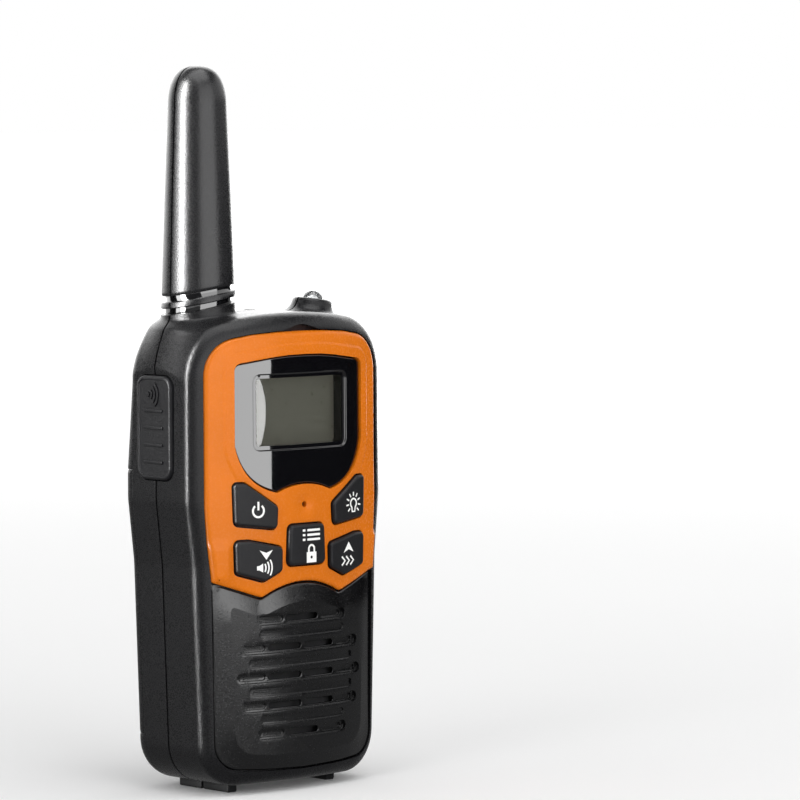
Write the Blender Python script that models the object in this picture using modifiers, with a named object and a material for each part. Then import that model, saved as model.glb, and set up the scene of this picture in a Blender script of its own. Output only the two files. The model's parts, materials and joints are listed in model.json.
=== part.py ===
"""Handheld two-way radio: clamshell case with a moulded antenna sleeve, bezel, keys, side talk bar,
speaker, boards, four cells and a hinged battery cover.

Lengths below are millimetres in the body frame: X to the right, Y to the back with 0 on the bezel's
middle, Z up from the floor. The face is bowed: every front piece is modelled flat, then bent.
"""

from math import cos, pi, radians, sin, sqrt

import bmesh
import bpy
from mathutils import Matrix, Vector

MM = 0.001

# Overall size and shell
BODY_TOP = 112.7
BODY_BOTTOM = 2.1
BODY_DEPTH = 32.4
HALF_WIDTH_TOP = 30.0
HALF_WIDTH_WAIST = 28.3
HALF_WIDTH_FOOT = 26.5
WAIST_Z = 54.0
SHOULDER_Z = 69.0
TAPER_Y = 22
TAPER_RISE = 30
TAPER_SHARE = 0.2
RIM_Y = 0.9
PARTING_Y = 18.7
SEAM = 0.15
GAP = 0.3
WALL = 2.2
FRONT_EDGE_R = 3.5
REAR_EDGE_R = 5.0
ORIGIN_BACK = 15.8

# Bow of the face
FACE_RADIUS = 80.0
BOW_STATIONS = (-28, -21, -14, -7, 0, 7, 14, 21, 28)
BOW_FULL_Y = 4.4
BOW_END_Y = 14.0

# Antenna sleeve and lamp boss
ANTENNA_X = -16.7
ANTENNA_TIP_Z = 170.5
ANTENNA_TILT = (0.155, -0.08)
ANTENNA_BORE_R = 4.6
TIP_HEIGHT = 8.0
TIP_R = 6.9
RING_Z = (109, 119)
LAMP_X = 19.2
LAMP_TILT = radians(9.3)
LAMP_TIP_Z = 116.9
LAMP_ROOT = (LAMP_X - 1.7, PARTING_Y)
LAMP_R = 2.5

# Face pieces
PLATE = 1.7
WINDOW = (-13.5, 81.6, 13.5, 97.8)
SLOT_ROWS = ((41.0, 13.6), (34.3, 18.0), (27.5, 19.0), (20.7, 17.8), (14.1, 13.7))
EAR_PROUD = 0.6
MIC_Z = 67.6
SPEAKER_Z = 27.5
SPEAKER_R = 16.0
KEY_PROUD = 0.9
KEY_TRAVEL = 0.6
FRONT_WALL_BACK = 3.9
KEY_STEM_BACK = 8.0
MAT_FRONT = 9.6
BOARD_FRONT = 11.0
BOARD_THICK = 1.2

# Talk bar
TALK_Y = (12.3, 24.9)
TALK_Z = (74.0, 98.4)
TALK_PROUD = 0.9
TALK_TRAVEL = 1.0

# Cells and battery cover
COVER_Z = (13.2, 75.7)
COVER_Y = 27.9
COVER_WALL = 1.4
CELL_R = 5.2
CELL_Y = 25.6
CELL_Z = (23.0, 67.5)
CELL_PITCH = 10.8
STRIP_REACH = 3.2
SPRING_R = 2.8
TRAY = (-22.2, 17.8, 22.2, 72.6)

SCREWS = ((-25.0, 102.4), (25.0, 102.4), (-20.5, 8.6), (20.5, 8.6))
FOOT = (13.9, 16.7, 9.1, 27.2)

COLOURS = {
    "shell": ((0.028, 0.029, 0.031), 0.48, 0.0),
    "orange": ((0.80, 0.22, 0.02), 0.38, 0.0),
    "panel": ((0.022, 0.023, 0.025), 0.42, 0.0),
    "lens": ((0.004, 0.004, 0.005), 0.06, 0.0),
    "lcd": ((0.16, 0.16, 0.13), 0.25, 0.0),
    "white": ((0.75, 0.75, 0.72), 0.5, 0.0),
    "key": ((0.035, 0.036, 0.04), 0.5, 0.0),
    "rubber": ((0.05, 0.05, 0.05), 0.8, 0.0),
    "board": ((0.02, 0.16, 0.06), 0.45, 0.0),
    "steel": ((0.62, 0.63, 0.65), 0.3, 1.0),
    "brass": ((0.72, 0.52, 0.22), 0.3, 1.0),
    "cone": ((0.03, 0.03, 0.03), 0.9, 0.0),
    "clear": ((0.85, 0.88, 0.9), 0.05, 0.0),
    "cell": ((0.10, 0.12, 0.16), 0.35, 0.3),
    "red": ((0.5, 0.02, 0.02), 0.45, 0.0),
}


# ---------------------------------------------------------------- outlines


def arc(a, b, sagitta, steps):
    """Points strictly between a and b on the arc that rises by sagitta to the left of the walk."""
    (ax, az), (bx, bz) = a, b
    half = sqrt((bx - ax) ** 2 + (bz - az) ** 2) / 2
    ux, uz = (bx - ax) / (2 * half), (bz - az) / (2 * half)
    points = []
    for i in range(1, steps):
        t = 2 * i / steps - 1
        lift = sagitta * (1 - t * t)
        x = (ax + bx) / 2 + ux * half * t - uz * lift
        z = (az + bz) / 2 + uz * half * t + ux * lift
        points.append((x, z))
    return points


def fillet(corners, steps):
    """A closed outline from (x, z, radius) corners, each rounded by an arc in this many steps."""
    points = []
    count = len(corners)
    for i, (x, z, radius) in enumerate(corners):
        here = Vector((x, z))
        if radius == 0:
            points.append((x, z))
            continue
        back = (Vector(corners[i - 1][:2]) - here).normalized()
        ahead = (Vector(corners[(i + 1) % count][:2]) - here).normalized()
        half = back.angle(ahead) / 2
        reach = radius / max(0.05, sin(half) / cos(half))
        start, end = here + back * reach, here + ahead * reach
        centre = here + (back + ahead).normalized() * (radius / sin(half))
        first, last = start - centre, end - centre
        turn = first.angle(last)
        for k in range(steps + 1):
            t = k / steps
            point = centre + (first * sin((1 - t) * turn) + last * sin(t * turn)) / sin(turn)
            points.append((point.x, point.y))
    return points


def mirrored(right):
    """Both halves of an outline whose right half runs from the top middle to the bottom middle."""
    left = [(-x, z) + tuple(rest) for x, z, *rest in reversed(right) if x > 0.001]
    return [tuple(p) for p in right] + left


def sharp(points):
    return [(x, z, 0) for x, z in points]


def inset(points, distance):
    """The outline moved inwards; a negative distance moves it outwards."""
    count = len(points)
    area = sum(points[i - 1][0] * points[i][1] - points[i][0] * points[i - 1][1] for i in range(count))
    side = 1 if area > 0 else -1
    moved = []
    for i in range(count):
        here = Vector(points[i])
        back = (here - Vector(points[i - 1])).normalized()
        ahead = (Vector(points[(i + 1) % count]) - here).normalized()
        normal_a = Vector((-back.y, back.x)) * side
        normal_b = Vector((-ahead.y, ahead.x)) * side
        middle = (normal_a + normal_b).normalized()
        point = here + middle * (distance / max(0.35, middle.dot(normal_a)))
        moved.append((point.x, point.y))
    return moved


def body_outline():
    right = [
        (0, BODY_TOP, 0),
        (11, BODY_TOP - 0.53, 0),
        (15, BODY_TOP - 0.99, 0),
        (HALF_WIDTH_TOP - 0.2, BODY_TOP - 3.4, 14.0),
        (HALF_WIDTH_TOP, SHOULDER_Z, 12),
        (HALF_WIDTH_WAIST, WAIST_Z, 30),
        (HALF_WIDTH_FOOT, BODY_BOTTOM, 10),
        (0, BODY_BOTTOM, 0),
    ]
    return fillet(mirrored(right), 4)


def bezel_bottom(drop):
    """Right half of the bezel's lower edge, from its outer corner to the middle."""
    corner, lobe, crown = (24.8, 50.5 - drop), (12.1, 46.3 - drop), (0, 49.5 - drop)
    arch = arc(lobe, (-lobe[0], lobe[1]), -3.2, 8)[:3]
    return sharp([corner, lobe, *arch, crown])


def bezel_outline():
    right = [(0, 108.4, 0), (14, 107.9, 0), (26.5, 106.0, 9.0), (26.5, 68, 30), (25.9, 60, 0)]
    return fillet(mirrored(right + bezel_bottom(0)), 5)


def panel_outline():
    right = [(x, z, 0) for x, z, _ in reversed(bezel_bottom(0.35))]
    return fillet(mirrored(right + [(24.1, 6.4, 6.5), (12, 5.6, 0), (0, 5.3, 0)]), 5)


def lens_outline():
    corner, side, valley = (19.4, 100.9), (19.4, 82.0), (8.2, 71.0)
    right = [(0, 102.7, 0), (9.7, 102.2, 0), (*corner, 1.6), (*side, 0)]
    right += sharp(arc(side, valley, 2.6, 5)) + [(*valley, 0)]
    right += sharp(arc(valley, (-valley[0], valley[1]), -1.7, 6)[:2]) + [(0, 72.7, 0)]
    return fillet(mirrored(right), 4)


def box_outline(x0, z0, x1, z1, radius, steps=3):
    corners = [(x0, z0, radius), (x1, z0, radius), (x1, z1, radius), (x0, z1, radius)]
    return fillet(corners, steps)


def flipped(corners):
    return [(-x, z, r) for x, z, r in reversed(corners)]


POWER_KEY = [
    (-20.2, 73.4, 0.9),
    (-17.4, 73.4, 1.2),
    (-8.5, 67.5, 1.2),
    (-8.8, 62.2, 1.2),
    (-19.9, 63.6, 1.2),
]
DOWN_KEY = [
    (-19.9, 59.9, 1.2),
    (-16.3, 59.9, 1.2),
    (-7.3, 58.0, 1.2),
    (-7.4, 52.4, 1.2),
    (-12.4, 50.1, 1.4),
    (-19.7, 52.2, 1.2),
]
MENU_KEY = [(-5.4, 63.0, 1.3), (5.4, 63.0, 1.3), (5.8, 53.4, 1.3), (-5.8, 53.4, 1.3)]
KEYS = {
    "power_button": (POWER_KEY, (-14.4, 67.0)),
    "light_button": (flipped(POWER_KEY), (14.4, 67.0)),
    "menu_button": (MENU_KEY, (0.0, 58.2)),
    "down_button": (DOWN_KEY, (-13.6, 55.4)),
    "up_button": (flipped(DOWN_KEY), (13.6, 55.4)),
}


# ---------------------------------------------------------------- solids


def new_object(name, bm, group=None):
    mesh = bpy.data.meshes.new(name)
    bmesh.ops.recalc_face_normals(bm, faces=bm.faces)
    bm.to_mesh(mesh)
    bm.free()
    obj = bpy.data.objects.new(name, mesh)
    (group or CUTTERS).objects.link(obj)
    return obj


def slab(points, y0, y1, front=0.0, rear=0.0, segments=2, name="cutter"):
    """A flat (x, z) outline extruded from y0 to y1, with its front and rear edges rounded."""
    bm = bmesh.new()
    face = bm.faces.new([bm.verts.new((x * MM, y0 * MM, z * MM)) for x, z in points])
    pushed = bmesh.ops.extrude_face_region(bm, geom=[face], use_keep_orig=True)["geom"]
    moved = [item for item in pushed if isinstance(item, bmesh.types.BMVert)]
    bmesh.ops.translate(bm, verts=moved, vec=(0, (y1 - y0) * MM, 0))
    for y, radius in ((y0, front), (y1, rear)):
        if radius:
            rim = [e for e in bm.edges if all(abs(v.co.y - y * MM) < 1e-6 for v in e.verts)]
            bmesh.ops.bevel(
                bm, geom=rim, offset=radius * MM, segments=segments, profile=0.5, affect="EDGES"
            )
    return new_object(name, bm)


def block(x0, x1, y0, y1, z0, z1, name="cutter"):
    bm = bmesh.new()
    bmesh.ops.create_cube(bm, size=1)
    size = Matrix.Diagonal(((x1 - x0) * MM, (y1 - y0) * MM, (z1 - z0) * MM, 1))
    place = Matrix.Translation(Vector(((x0 + x1) / 2, (y0 + y1) / 2, (z0 + z1) / 2)) * MM)
    bmesh.ops.transform(bm, matrix=place @ size, verts=bm.verts)
    return new_object(name, bm)


AXES = {"X": (1, 0, 0), "Y": (0, 1, 0), "Z": (0, 0, 1)}


def rod(centre, radius, along, length, sides=20, radius2=None, name="cutter"):
    """A cylinder or cone from centre along 'X', 'Y' or 'Z', for this signed length."""
    step = Vector(AXES[along])
    turn = Vector((0, 0, 1)).rotation_difference(step).to_matrix().to_4x4()
    bm = bmesh.new()
    wide = radius if radius2 is None else radius2
    bmesh.ops.create_cone(
        bm, cap_ends=True, segments=sides, radius1=radius * MM, radius2=wide * MM, depth=abs(length) * MM
    )
    middle = Vector(centre) + step * (length / 2)
    bmesh.ops.transform(bm, matrix=Matrix.Translation(middle * MM) @ turn, verts=bm.verts)
    return new_object(name, bm)


def turned(profile, centre, sides, name="cutter"):
    """Turns (radius, z) points, listed from bottom to top, about an upright axis."""
    bm = bmesh.new()
    outline = [(0, profile[-1][1]), *reversed(profile), (0, profile[0][1])]
    chain = [bm.verts.new((x * MM, 0, z * MM)) for x, z in outline]
    for upper, lower in zip(chain, chain[1:]):
        bm.edges.new((upper, lower))
    obj = new_object(name, bm)
    screw = obj.modifiers.new("turn", "SCREW")
    screw.steps = sides
    screw.render_steps = sides
    screw.use_merge_vertices = True
    screw.merge_threshold = 0.00001
    obj.data = evaluated_mesh(obj)
    obj.modifiers.clear()
    obj.data.transform(Matrix.Translation(Vector((*centre, 0)) * MM))
    return obj


def tube_along(points, radius, sides, name):
    """A wire through these points, as a welded mesh made from a bevelled curve."""
    curve = bpy.data.curves.new(name, "CURVE")
    curve.dimensions = "3D"
    curve.bevel_depth = radius * MM
    curve.bevel_resolution = max(0, sides // 2 - 2)
    curve.use_fill_caps = True
    line = curve.splines.new("POLY")
    line.points.add(len(points) - 1)
    for spot, point in zip(line.points, points):
        spot.co = (*(Vector(point) * MM), 1)
    source = bpy.data.objects.new(name + "_path", curve)
    CUTTERS.objects.link(source)
    mesh = evaluated_mesh(source)
    bm = bmesh.new()
    bm.from_mesh(mesh)
    bmesh.ops.remove_doubles(bm, verts=bm.verts, dist=0.000001)
    bpy.data.objects.remove(source)
    return new_object(name, bm)


def evaluated_mesh(obj):
    bpy.context.view_layer.update()
    graph = bpy.context.evaluated_depsgraph_get()
    return bpy.data.meshes.new_from_object(obj.evaluated_get(graph))


def combine(obj, others, operation):
    """Applies an exact Boolean with each of the others, then drops them."""
    for other in others:
        modifier = obj.modifiers.new(operation.lower(), "BOOLEAN")
        modifier.operation = operation
        modifier.solver = "EXACT"
        modifier.object = other
        obj.data = evaluated_mesh(obj)
        obj.modifiers.clear()
        bpy.data.objects.remove(other)
    return obj


def cut(obj, *others):
    return combine(obj, others, "DIFFERENCE")


def join(obj, *others):
    return combine(obj, others, "UNION")


def keep(obj, *others):
    return combine(obj, others, "INTERSECT")


def bow(x):
    """Set-back of the bowed face at x, straight between the stations."""
    x = max(BOW_STATIONS[0], min(BOW_STATIONS[-1], x))
    for left, right in zip(BOW_STATIONS, BOW_STATIONS[1:]):
        if x <= right:
            share = (x - left) / (right - left)
            return (1 - share) * arc_depth(left) + share * arc_depth(right)
    return arc_depth(x)


def arc_depth(x):
    return FACE_RADIUS - sqrt(FACE_RADIUS**2 - x * x)


def slice_at(bm, point, normal):
    """Adds edges where a plane crosses the mesh."""
    geometry = bm.verts[:] + bm.edges[:] + bm.faces[:]
    place = Vector(point) * MM
    bmesh.ops.bisect_plane(bm, geom=geometry, dist=1e-7, plane_co=place, plane_no=normal)


def bend(obj):
    """Splits a flat front piece at the stations and sets it back onto the bowed face."""
    bm = bmesh.new()
    bm.from_mesh(obj.data)
    for station in BOW_STATIONS:
        slice_at(bm, (station, 0, 0), (1, 0, 0))
    for vert in bm.verts:
        share = (BOW_END_Y - vert.co.y / MM) / (BOW_END_Y - BOW_FULL_Y)
        vert.co.y += bow(vert.co.x / MM) * MM * max(0, min(1, share))
    bm.to_mesh(obj.data)
    bm.free()
    return obj


def finish_part(obj, name, material, pivot=(0, 0, 0)):
    """Names a piece, gives it its material, puts its origin on its pivot and parents it to the frame."""
    obj.name = name
    obj.data.name = name
    bm = bmesh.new()
    bm.from_mesh(obj.data)
    bmesh.ops.remove_doubles(bm, verts=bm.verts, dist=2e-6)
    bmesh.ops.dissolve_degenerate(bm, dist=1e-6, edges=bm.edges)
    bmesh.ops.triangulate(bm, faces=[f for f in bm.faces if len(f.verts) > 4])
    bm.to_mesh(obj.data)
    bm.free()
    obj.data.transform(Matrix.Translation(-Vector(pivot) * MM))
    obj.location = Vector(pivot) * MM
    obj.parent = FRAME
    obj.data.materials.clear()
    obj.data.materials.append(MATERIALS[material])
    obj.data.shade_smooth()
    obj.data.set_sharp_from_angle(angle=radians(32))
    CUTTERS.objects.unlink(obj)
    PARTS.objects.link(obj)
    return obj


# ---------------------------------------------------------------- case halves


def triangulated(obj):
    bm = bmesh.new()
    bm.from_mesh(obj.data)
    bmesh.ops.triangulate(bm, faces=bm.faces)
    bm.to_mesh(obj.data)
    bm.free()
    return obj


def taper_rear(obj):
    """Thins the case towards its top, behind the parting plane."""
    for vert in obj.data.vertices:
        z, y = vert.co.z / MM, vert.co.y / MM
        rise = max(0, min(1, (z - COVER_Z[1]) / TAPER_RISE))
        if y > TAPER_Y:
            vert.co.y = (TAPER_Y + (y - TAPER_Y) * (1 - TAPER_SHARE * rise)) * MM
    return obj


def split_rear(obj):
    """Adds edges across the rear so that the taper starts at the cover's top edge."""
    bm = bmesh.new()
    bm.from_mesh(obj.data)
    for z in (COVER_Z[1], 90, 105):
        slice_at(bm, (0, 0, z), (0, 0, 1))
    bm.to_mesh(obj.data)
    bm.free()
    return obj


def case_body(shrink=0.0, y0=RIM_Y, y1=BODY_DEPTH, front=FRONT_EDGE_R, rear=REAR_EDGE_R, segments=3):
    outline = inset(body_outline(), shrink) if shrink else body_outline()
    return slab(outline, y0, y1, front, rear, segments)


def lean_rings(obj, low, high):
    """Slopes every ring of the sleeve between two heights, highest at the front right."""
    for vert in obj.data.vertices:
        x, y, z = (value / MM for value in vert.co)
        if low <= z <= high:
            vert.co.z += (ANTENNA_TILT[0] * (x - ANTENNA_X) + ANTENNA_TILT[1] * (y - PARTING_Y)) * MM
    return triangulated(obj)


def antenna_sleeve():
    """Flared root, two grooves with a ring between them, tapered shaft and domed tip."""
    profile = [(9.6, 106.3), (9.4, 108.8), (8.9, 110.6), (8.8, 112.0), (8.75, 113.7)]
    profile += [(7.8, 113.7), (7.8, 115.1), (8.75, 115.2), (8.75, 116.6), (7.8, 116.7), (7.8, 118.1)]
    tip_base = ANTENNA_TIP_Z - TIP_HEIGHT
    profile += [(8.6, 118.2), (TIP_R, tip_base)]
    for k in range(1, 6):
        angle = pi / 2 * k / 6
        profile.append((TIP_R * cos(angle), tip_base + TIP_HEIGHT * sin(angle)))
    profile.append((0.9, ANTENNA_TIP_Z))
    return lean_rings(turned(profile, (ANTENNA_X, PARTING_Y), 22), *RING_Z)


def antenna_bore():
    profile = [(ANTENNA_BORE_R, 104), (ANTENNA_BORE_R, 150), (4.1, 163)]
    return turned(profile, (ANTENNA_X, PARTING_Y), 16)


def lean(obj):
    """Leans a piece made on the lamp's upright axis outwards about its root."""
    root = Vector((LAMP_X, PARTING_Y, 106)) * MM
    swing = Matrix.Translation(root) @ Matrix.Rotation(LAMP_TILT, 4, "Y") @ Matrix.Translation(-root)
    obj.data.transform(swing)
    return obj


def lamp_boss():
    profile = [(7.6, 105.5), (7.2, 108.6), (5.9, 110.2), (5.1, 111.6), (4.8, 114.0), (4.3, 114.6)]
    return lean(turned(profile, LAMP_ROOT, 24))


def lamp_bore():
    return lean(turned([(LAMP_R + GAP, 100), (LAMP_R + GAP, 118)], LAMP_ROOT, 16))


def talk_opening(grow):
    """Cutter or bar blank for the talk bar, through the left wall."""
    y0, y1 = TALK_Y[0] - grow, TALK_Y[1] + grow
    z0, z1 = TALK_Z[0] - grow, TALK_Z[1] + grow
    blank = slab(box_outline(y0, z0, y1, z1, 3.4 + grow, 3), 0, 1)
    return blank


def along_x(obj, x0, x1):
    """Turns a plate drawn as (y, z) from y = 0 to 1 so that it lies from x0 to x1."""
    for vert in obj.data.vertices:
        y, x = vert.co.x, (x0 + (x1 - x0) * vert.co.y / MM) * MM
        vert.co.x, vert.co.y = x, y
    obj.data.flip_normals()
    return obj


def boss(x, z, y0, y1, radius):
    return rod((x, y0, z), radius, "Y", y1 - y0, 12)


def front_case():
    case = case_body()
    keep(case, block(-60, 60, -5, PARTING_Y - SEAM, -5, 150))
    cut(case, case_body(WALL, FRONT_WALL_BACK, BODY_DEPTH, 2.0, 2.0, 2))
    for x, z in SCREWS:
        join(case, keep(boss(x, z, FRONT_WALL_BACK - 1, PARTING_Y - SEAM, 3.2), case_body(0.6)))
    cut(case, slab(inset(bezel_outline(), -GAP), -2, PLATE + GAP))
    cut(case, slab(inset(panel_outline(), -GAP), -2, PLATE + 0.5 + GAP))
    cut(case, slab(box_outline(*WINDOW, 1.0), -2, 6))
    for corners, _ in KEYS.values():
        cut(case, slab(inset(fillet(corners, 2), -GAP), -2, 6))
    cut(case, rod((0, -2, SPEAKER_Z), 17.0, "Y", 9, 24))
    cut(case, rod((0, -2, MIC_Z), 1.0, "Y", 9, 10))
    bend(case)
    cut(case, block(-18.9, 18.9, 5.2, 10, 78.6, 101.4))
    for x, z in SCREWS:
        cut(case, boss(x, z, 8.5, 30, 1.15))
    for raised in (antenna_sleeve(), lamp_boss()):
        join(case, rooted(keep(raised, block(-60, 60, -5, PARTING_Y - SEAM, 0, 200))))
    cut(case, antenna_bore(), lamp_bore())
    cut(case, along_x(talk_opening(GAP), -40, -22))
    return finish_part(case, "front_case", "shell")


def rooted(raised):
    """Trims a raised piece so that its root ends inside the case wall."""
    return cut(raised, case_body(WALL * 0.6, 4, BODY_DEPTH - 4, 1.5, 1.5, 1))


def rear_case():
    behind = PARTING_Y + SEAM
    case = taper_rear(split_rear(case_body()))
    keep(case, block(-60, 60, behind, 60, -5, 150))
    core = taper_rear(split_rear(case_body(WALL, 5, BODY_DEPTH - 2.0, 2.0, 3.0, 2)))
    keep(core, block(-60, 60, 10, 60, 77.2, 150))
    lower = case_body(WALL + 0.2, 5, COVER_Y - 2.0, 2.0, 0.6, 1)
    cut(case, core, keep(lower, block(-60, 60, 10, 60, -5, 77.6)))
    cut(case, block(-60, 60, COVER_Y - GAP, 60, COVER_Z[0] - GAP, COVER_Z[1] + GAP))
    x0, z0, x1, z1 = TRAY
    join(case, block(x0 - 1.4, x1 + 1.4, behind, COVER_Y - 0.8, z0 - 1.4, z1 + 1.4))
    cut(case, block(x0, x1, behind + 1.3, 60, z0, z1))
    for x, z in SCREWS:
        within = taper_rear(split_rear(case_body(0.5)))
        post = keep(boss(x, z, behind, BODY_DEPTH - 1, 3.2), within, block(-60, 60, behind, 60, -5, 150))
        join(case, post)
        cut(case, boss(x, z, 23.4, 60, 2.6), boss(x, z, 10, 60, 1.3))
    for raised in (antenna_sleeve(), lamp_boss()):
        join(case, rooted(keep(raised, block(-60, 60, behind, 60, 0, 200))))
    cut(case, antenna_bore(), lamp_bore())
    cut(case, along_x(talk_opening(GAP), -40, -22))
    cut(case, rod((2.0, 24.2, 100), 2.9, "Z", 20, 20))
    return finish_part(case, "rear_case", "shell")


def battery_cover():
    cover = keep(case_body(), block(-60, 60, COVER_Y, 60, *COVER_Z))
    hollow = case_body(COVER_WALL, 5, BODY_DEPTH - COVER_WALL, 2.0, REAR_EDGE_R - 1, 3)
    cut(cover, keep(hollow, block(-60, 60, 10, 60, COVER_Z[0] + COVER_WALL, COVER_Z[1] - COVER_WALL)))
    cut(cover, slab(box_outline(-7, COVER_Z[0] - 4, 7, COVER_Z[0] + 3.2, 3.0), BODY_DEPTH - 0.7, 60))
    return finish_part(cover, "battery_cover", "shell", (0, BODY_DEPTH, COVER_Z[1]))


# ---------------------------------------------------------------- face pieces


def front_bezel():
    bezel = slab(bezel_outline(), 0, PLATE, front=0.9)
    cut(bezel, slab(inset(lens_outline(), -GAP), -2, 6))
    for corners, _ in KEYS.values():
        cut(bezel, slab(inset(fillet(corners, 2), -GAP), -2, 6))
    cut(bezel, rod((0, -2, MIC_Z), 0.55, "Y", 9, 10))
    for side in (1, -1):
        ear = fillet([(20.9, 50.4, 0.5), (23.9, 51.4, 0.5), (23.9, 59.2, 0.6), (22.4, 59.2, 0.6), (20.9, 57.6, 0.6)], 2)
        join(bezel, slab([(side * x, z) for x, z in ear], -EAR_PROUD, 1.0, front=0.3, segments=1))
    return finish_part(bend(bezel), "front_bezel", "orange")


def screen_lens():
    lens = slab(lens_outline(), 0.35, PLATE, front=0.4, segments=1)
    return finish_part(bend(lens), "screen_lens", "lens")


def speaker_grille():
    panel = slab(panel_outline(), 0.5, PLATE + 0.5, front=0.7, segments=1)
    for z, half in SLOT_ROWS:
        count = 3 if half < 15 else 4
        step = 2 * half / count
        for k in range(count):
            x0 = -half + k * step
            slot = box_outline(x0 + 0.5, z - 0.75, x0 + step - 0.5, z + 0.75, 0.5, 1)
            cut(panel, slab(slot, -2, 6))
    return finish_part(bend(panel), "speaker_grille", "panel")


def key_cap(name):
    """A key: chamfered cap through the bezel, retaining flange and a stem to the mat."""
    corners, (x, z) = KEYS[name]
    shape = fillet(corners, 2)
    cap = slab(shape, -KEY_PROUD, FRONT_WALL_BACK + 0.1, front=0.5, segments=1)
    keep_in = FRONT_WALL_BACK + GAP
    flange = inset(shape, -0.7)
    join(cap, slab(flange, keep_in, keep_in + 0.8), slab(inset(shape, 0.4), 1, keep_in + 0.4))
    bend(cap)
    join(cap, rod((x, 4.0 + bow(x) * 0.8, z), 2.0, "Y", KEY_STEM_BACK - 4.0 - bow(x) * 0.8, 12))
    return finish_part(cap, name, "key", (x, 0, z))


def keypad_mat():
    mat = slab(box_outline(-22.5, 48.5, 22.5, 76.5, 2.0), MAT_FRONT, MAT_FRONT + 0.8)
    for _, (x, z) in KEYS.values():
        dome_front = KEY_STEM_BACK + KEY_TRAVEL + GAP
        join(mat, rod((x, dome_front, z), 2.2, "Y", MAT_FRONT - dome_front + 0.4, 12, 3.2))
    cut(mat, rod((0, 0, MIC_Z), 3.6, "Y", 30, 16))
    return finish_part(mat, "keypad_mat", "rubber")


# ---------------------------------------------------------------- electronics


def lcd_parts():
    frame = slab(box_outline(-18.5, 79.0, 18.5, 101.0, 1.0, 2), 5.5, BOARD_FRONT - GAP)
    cut(frame, block(-16.3, 16.3, 3, 8.2, 80.2, 99.4), block(-13, 13, 3, 30, 83, 97))
    finish_part(frame, "lcd_frame", "white")
    glass = block(-16, 16, 5.9, 7.7, 80.5, 99.1)
    finish_part(glass, "lcd_panel", "lcd")


def main_board():
    bottom = [(-24, 46.5, 1.5), (24, 46.5, 1.5)]
    top = [(24, 104, 3), (10, 107.5, 1), (-7, 107.5, 1), (-7, 103, 1), (-24, 103, 2)]
    board = slab(fillet(bottom + top, 2), BOARD_FRONT, BOARD_FRONT + BOARD_THICK)
    for x, z in SCREWS[:2]:
        cut(board, boss(x, z, 5, 30, 3.6))
    cut(board, block(-40, -21.4, 5, 30, *TALK_Z))
    return finish_part(board, "main_board", "board")


def rf_shield():
    can = block(-14, 16, BOARD_FRONT + 1.5, BOARD_FRONT + 4.8, 56, 78)
    cut(can, block(-13.5, 15.5, BOARD_FRONT, BOARD_FRONT + 4.3, 56.5, 77.5))
    return finish_part(can, "rf_shield", "steel")


def speaker_parts():
    z = SPEAKER_Z
    gasket = cut(rod((0, 4.75, z), SPEAKER_R, "Y", 0.9, 24), rod((0, 0, z), 13.4, "Y", 20, 24))
    finish_part(gasket, "speaker_gasket", "rubber")
    basket = join(rod((0, 5.95, z), SPEAKER_R, "Y", 1.2, 24), rod((0, 6.6, z), 14.6, "Y", 2.8, 24, 10.5))
    join(basket, rod((0, 8.8, z), 8.6, "Y", 3.6, 20))
    cut(basket, rod((0, 0, z), 13.5, "Y", 7.2, 24))
    finish_part(basket, "speaker_basket", "steel")
    cone = cut(rod((0, 5.0, z), 12.9, "Y", 1.9, 24), rod((0, 0, z), 18.0, "Y", 6.4, 24, 5.0))
    finish_part(cone, "speaker_cone", "cone")
    screen = rod((0, 4.15, z), SPEAKER_R + 0.2, "Y", 0.3, 24)
    finish_part(screen, "dust_screen", "cone")


def mic_parts():
    boot = rod((0, 4.5, MIC_Z), 3.1, "Y", 3.6, 16)
    cut(boot, rod((0, 5.2, MIC_Z), 2.3, "Y", 9, 16), rod((0, 0, MIC_Z), 0.9, "Y", 9, 10))
    finish_part(boot, "mic_boot", "rubber")
    finish_part(rod((0, 5.5, MIC_Z), 2.0, "Y", 3.4, 16), "microphone", "steel")


def lamp_parts():
    profile = [(LAMP_R, 108.0)]
    shoulder = LAMP_TIP_Z - LAMP_R
    for k in range(5):
        angle = pi / 2 * k / 5
        profile.append((LAMP_R * cos(angle), shoulder + LAMP_R * sin(angle)))
    finish_part(lean(turned(profile, LAMP_ROOT, 16)), "flashlight_led", "clear")
    holder = lean(turned([(3.4, 104.6), (3.4, 107.6)], LAMP_ROOT, 16))
    finish_part(holder, "led_board", "board")


def headset_jack():
    jack = rod((2.0, 24.2, 101.5), 2.6, "Z", 10.0, 20)
    cut(jack, rod((2.0, 24.2, 103), 1.25, "Z", 20, 12))
    join(jack, cut(block(-1.5, 5.5, 20.8, 27.4, 99.5, 106.5), rod((2.0, 24.2, 103), 1.25, "Z", 20, 12)))
    return finish_part(jack, "headset_jack", "rubber")


def antenna_coil():
    turns, low, high, radius = 8, 112.0, 158.0, 3.3
    steps = turns * 8
    points = [(ANTENNA_X + radius, PARTING_Y, 104.6)]
    for k in range(steps + 1):
        angle = 2 * pi * k / 8
        z = low + (high - low) * k / steps
        points.append((ANTENNA_X + radius * cos(angle), PARTING_Y + radius * sin(angle), z))
    return finish_part(tube_along(points, 0.5, 4, "antenna_coil"), "antenna_coil", "brass")


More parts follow.
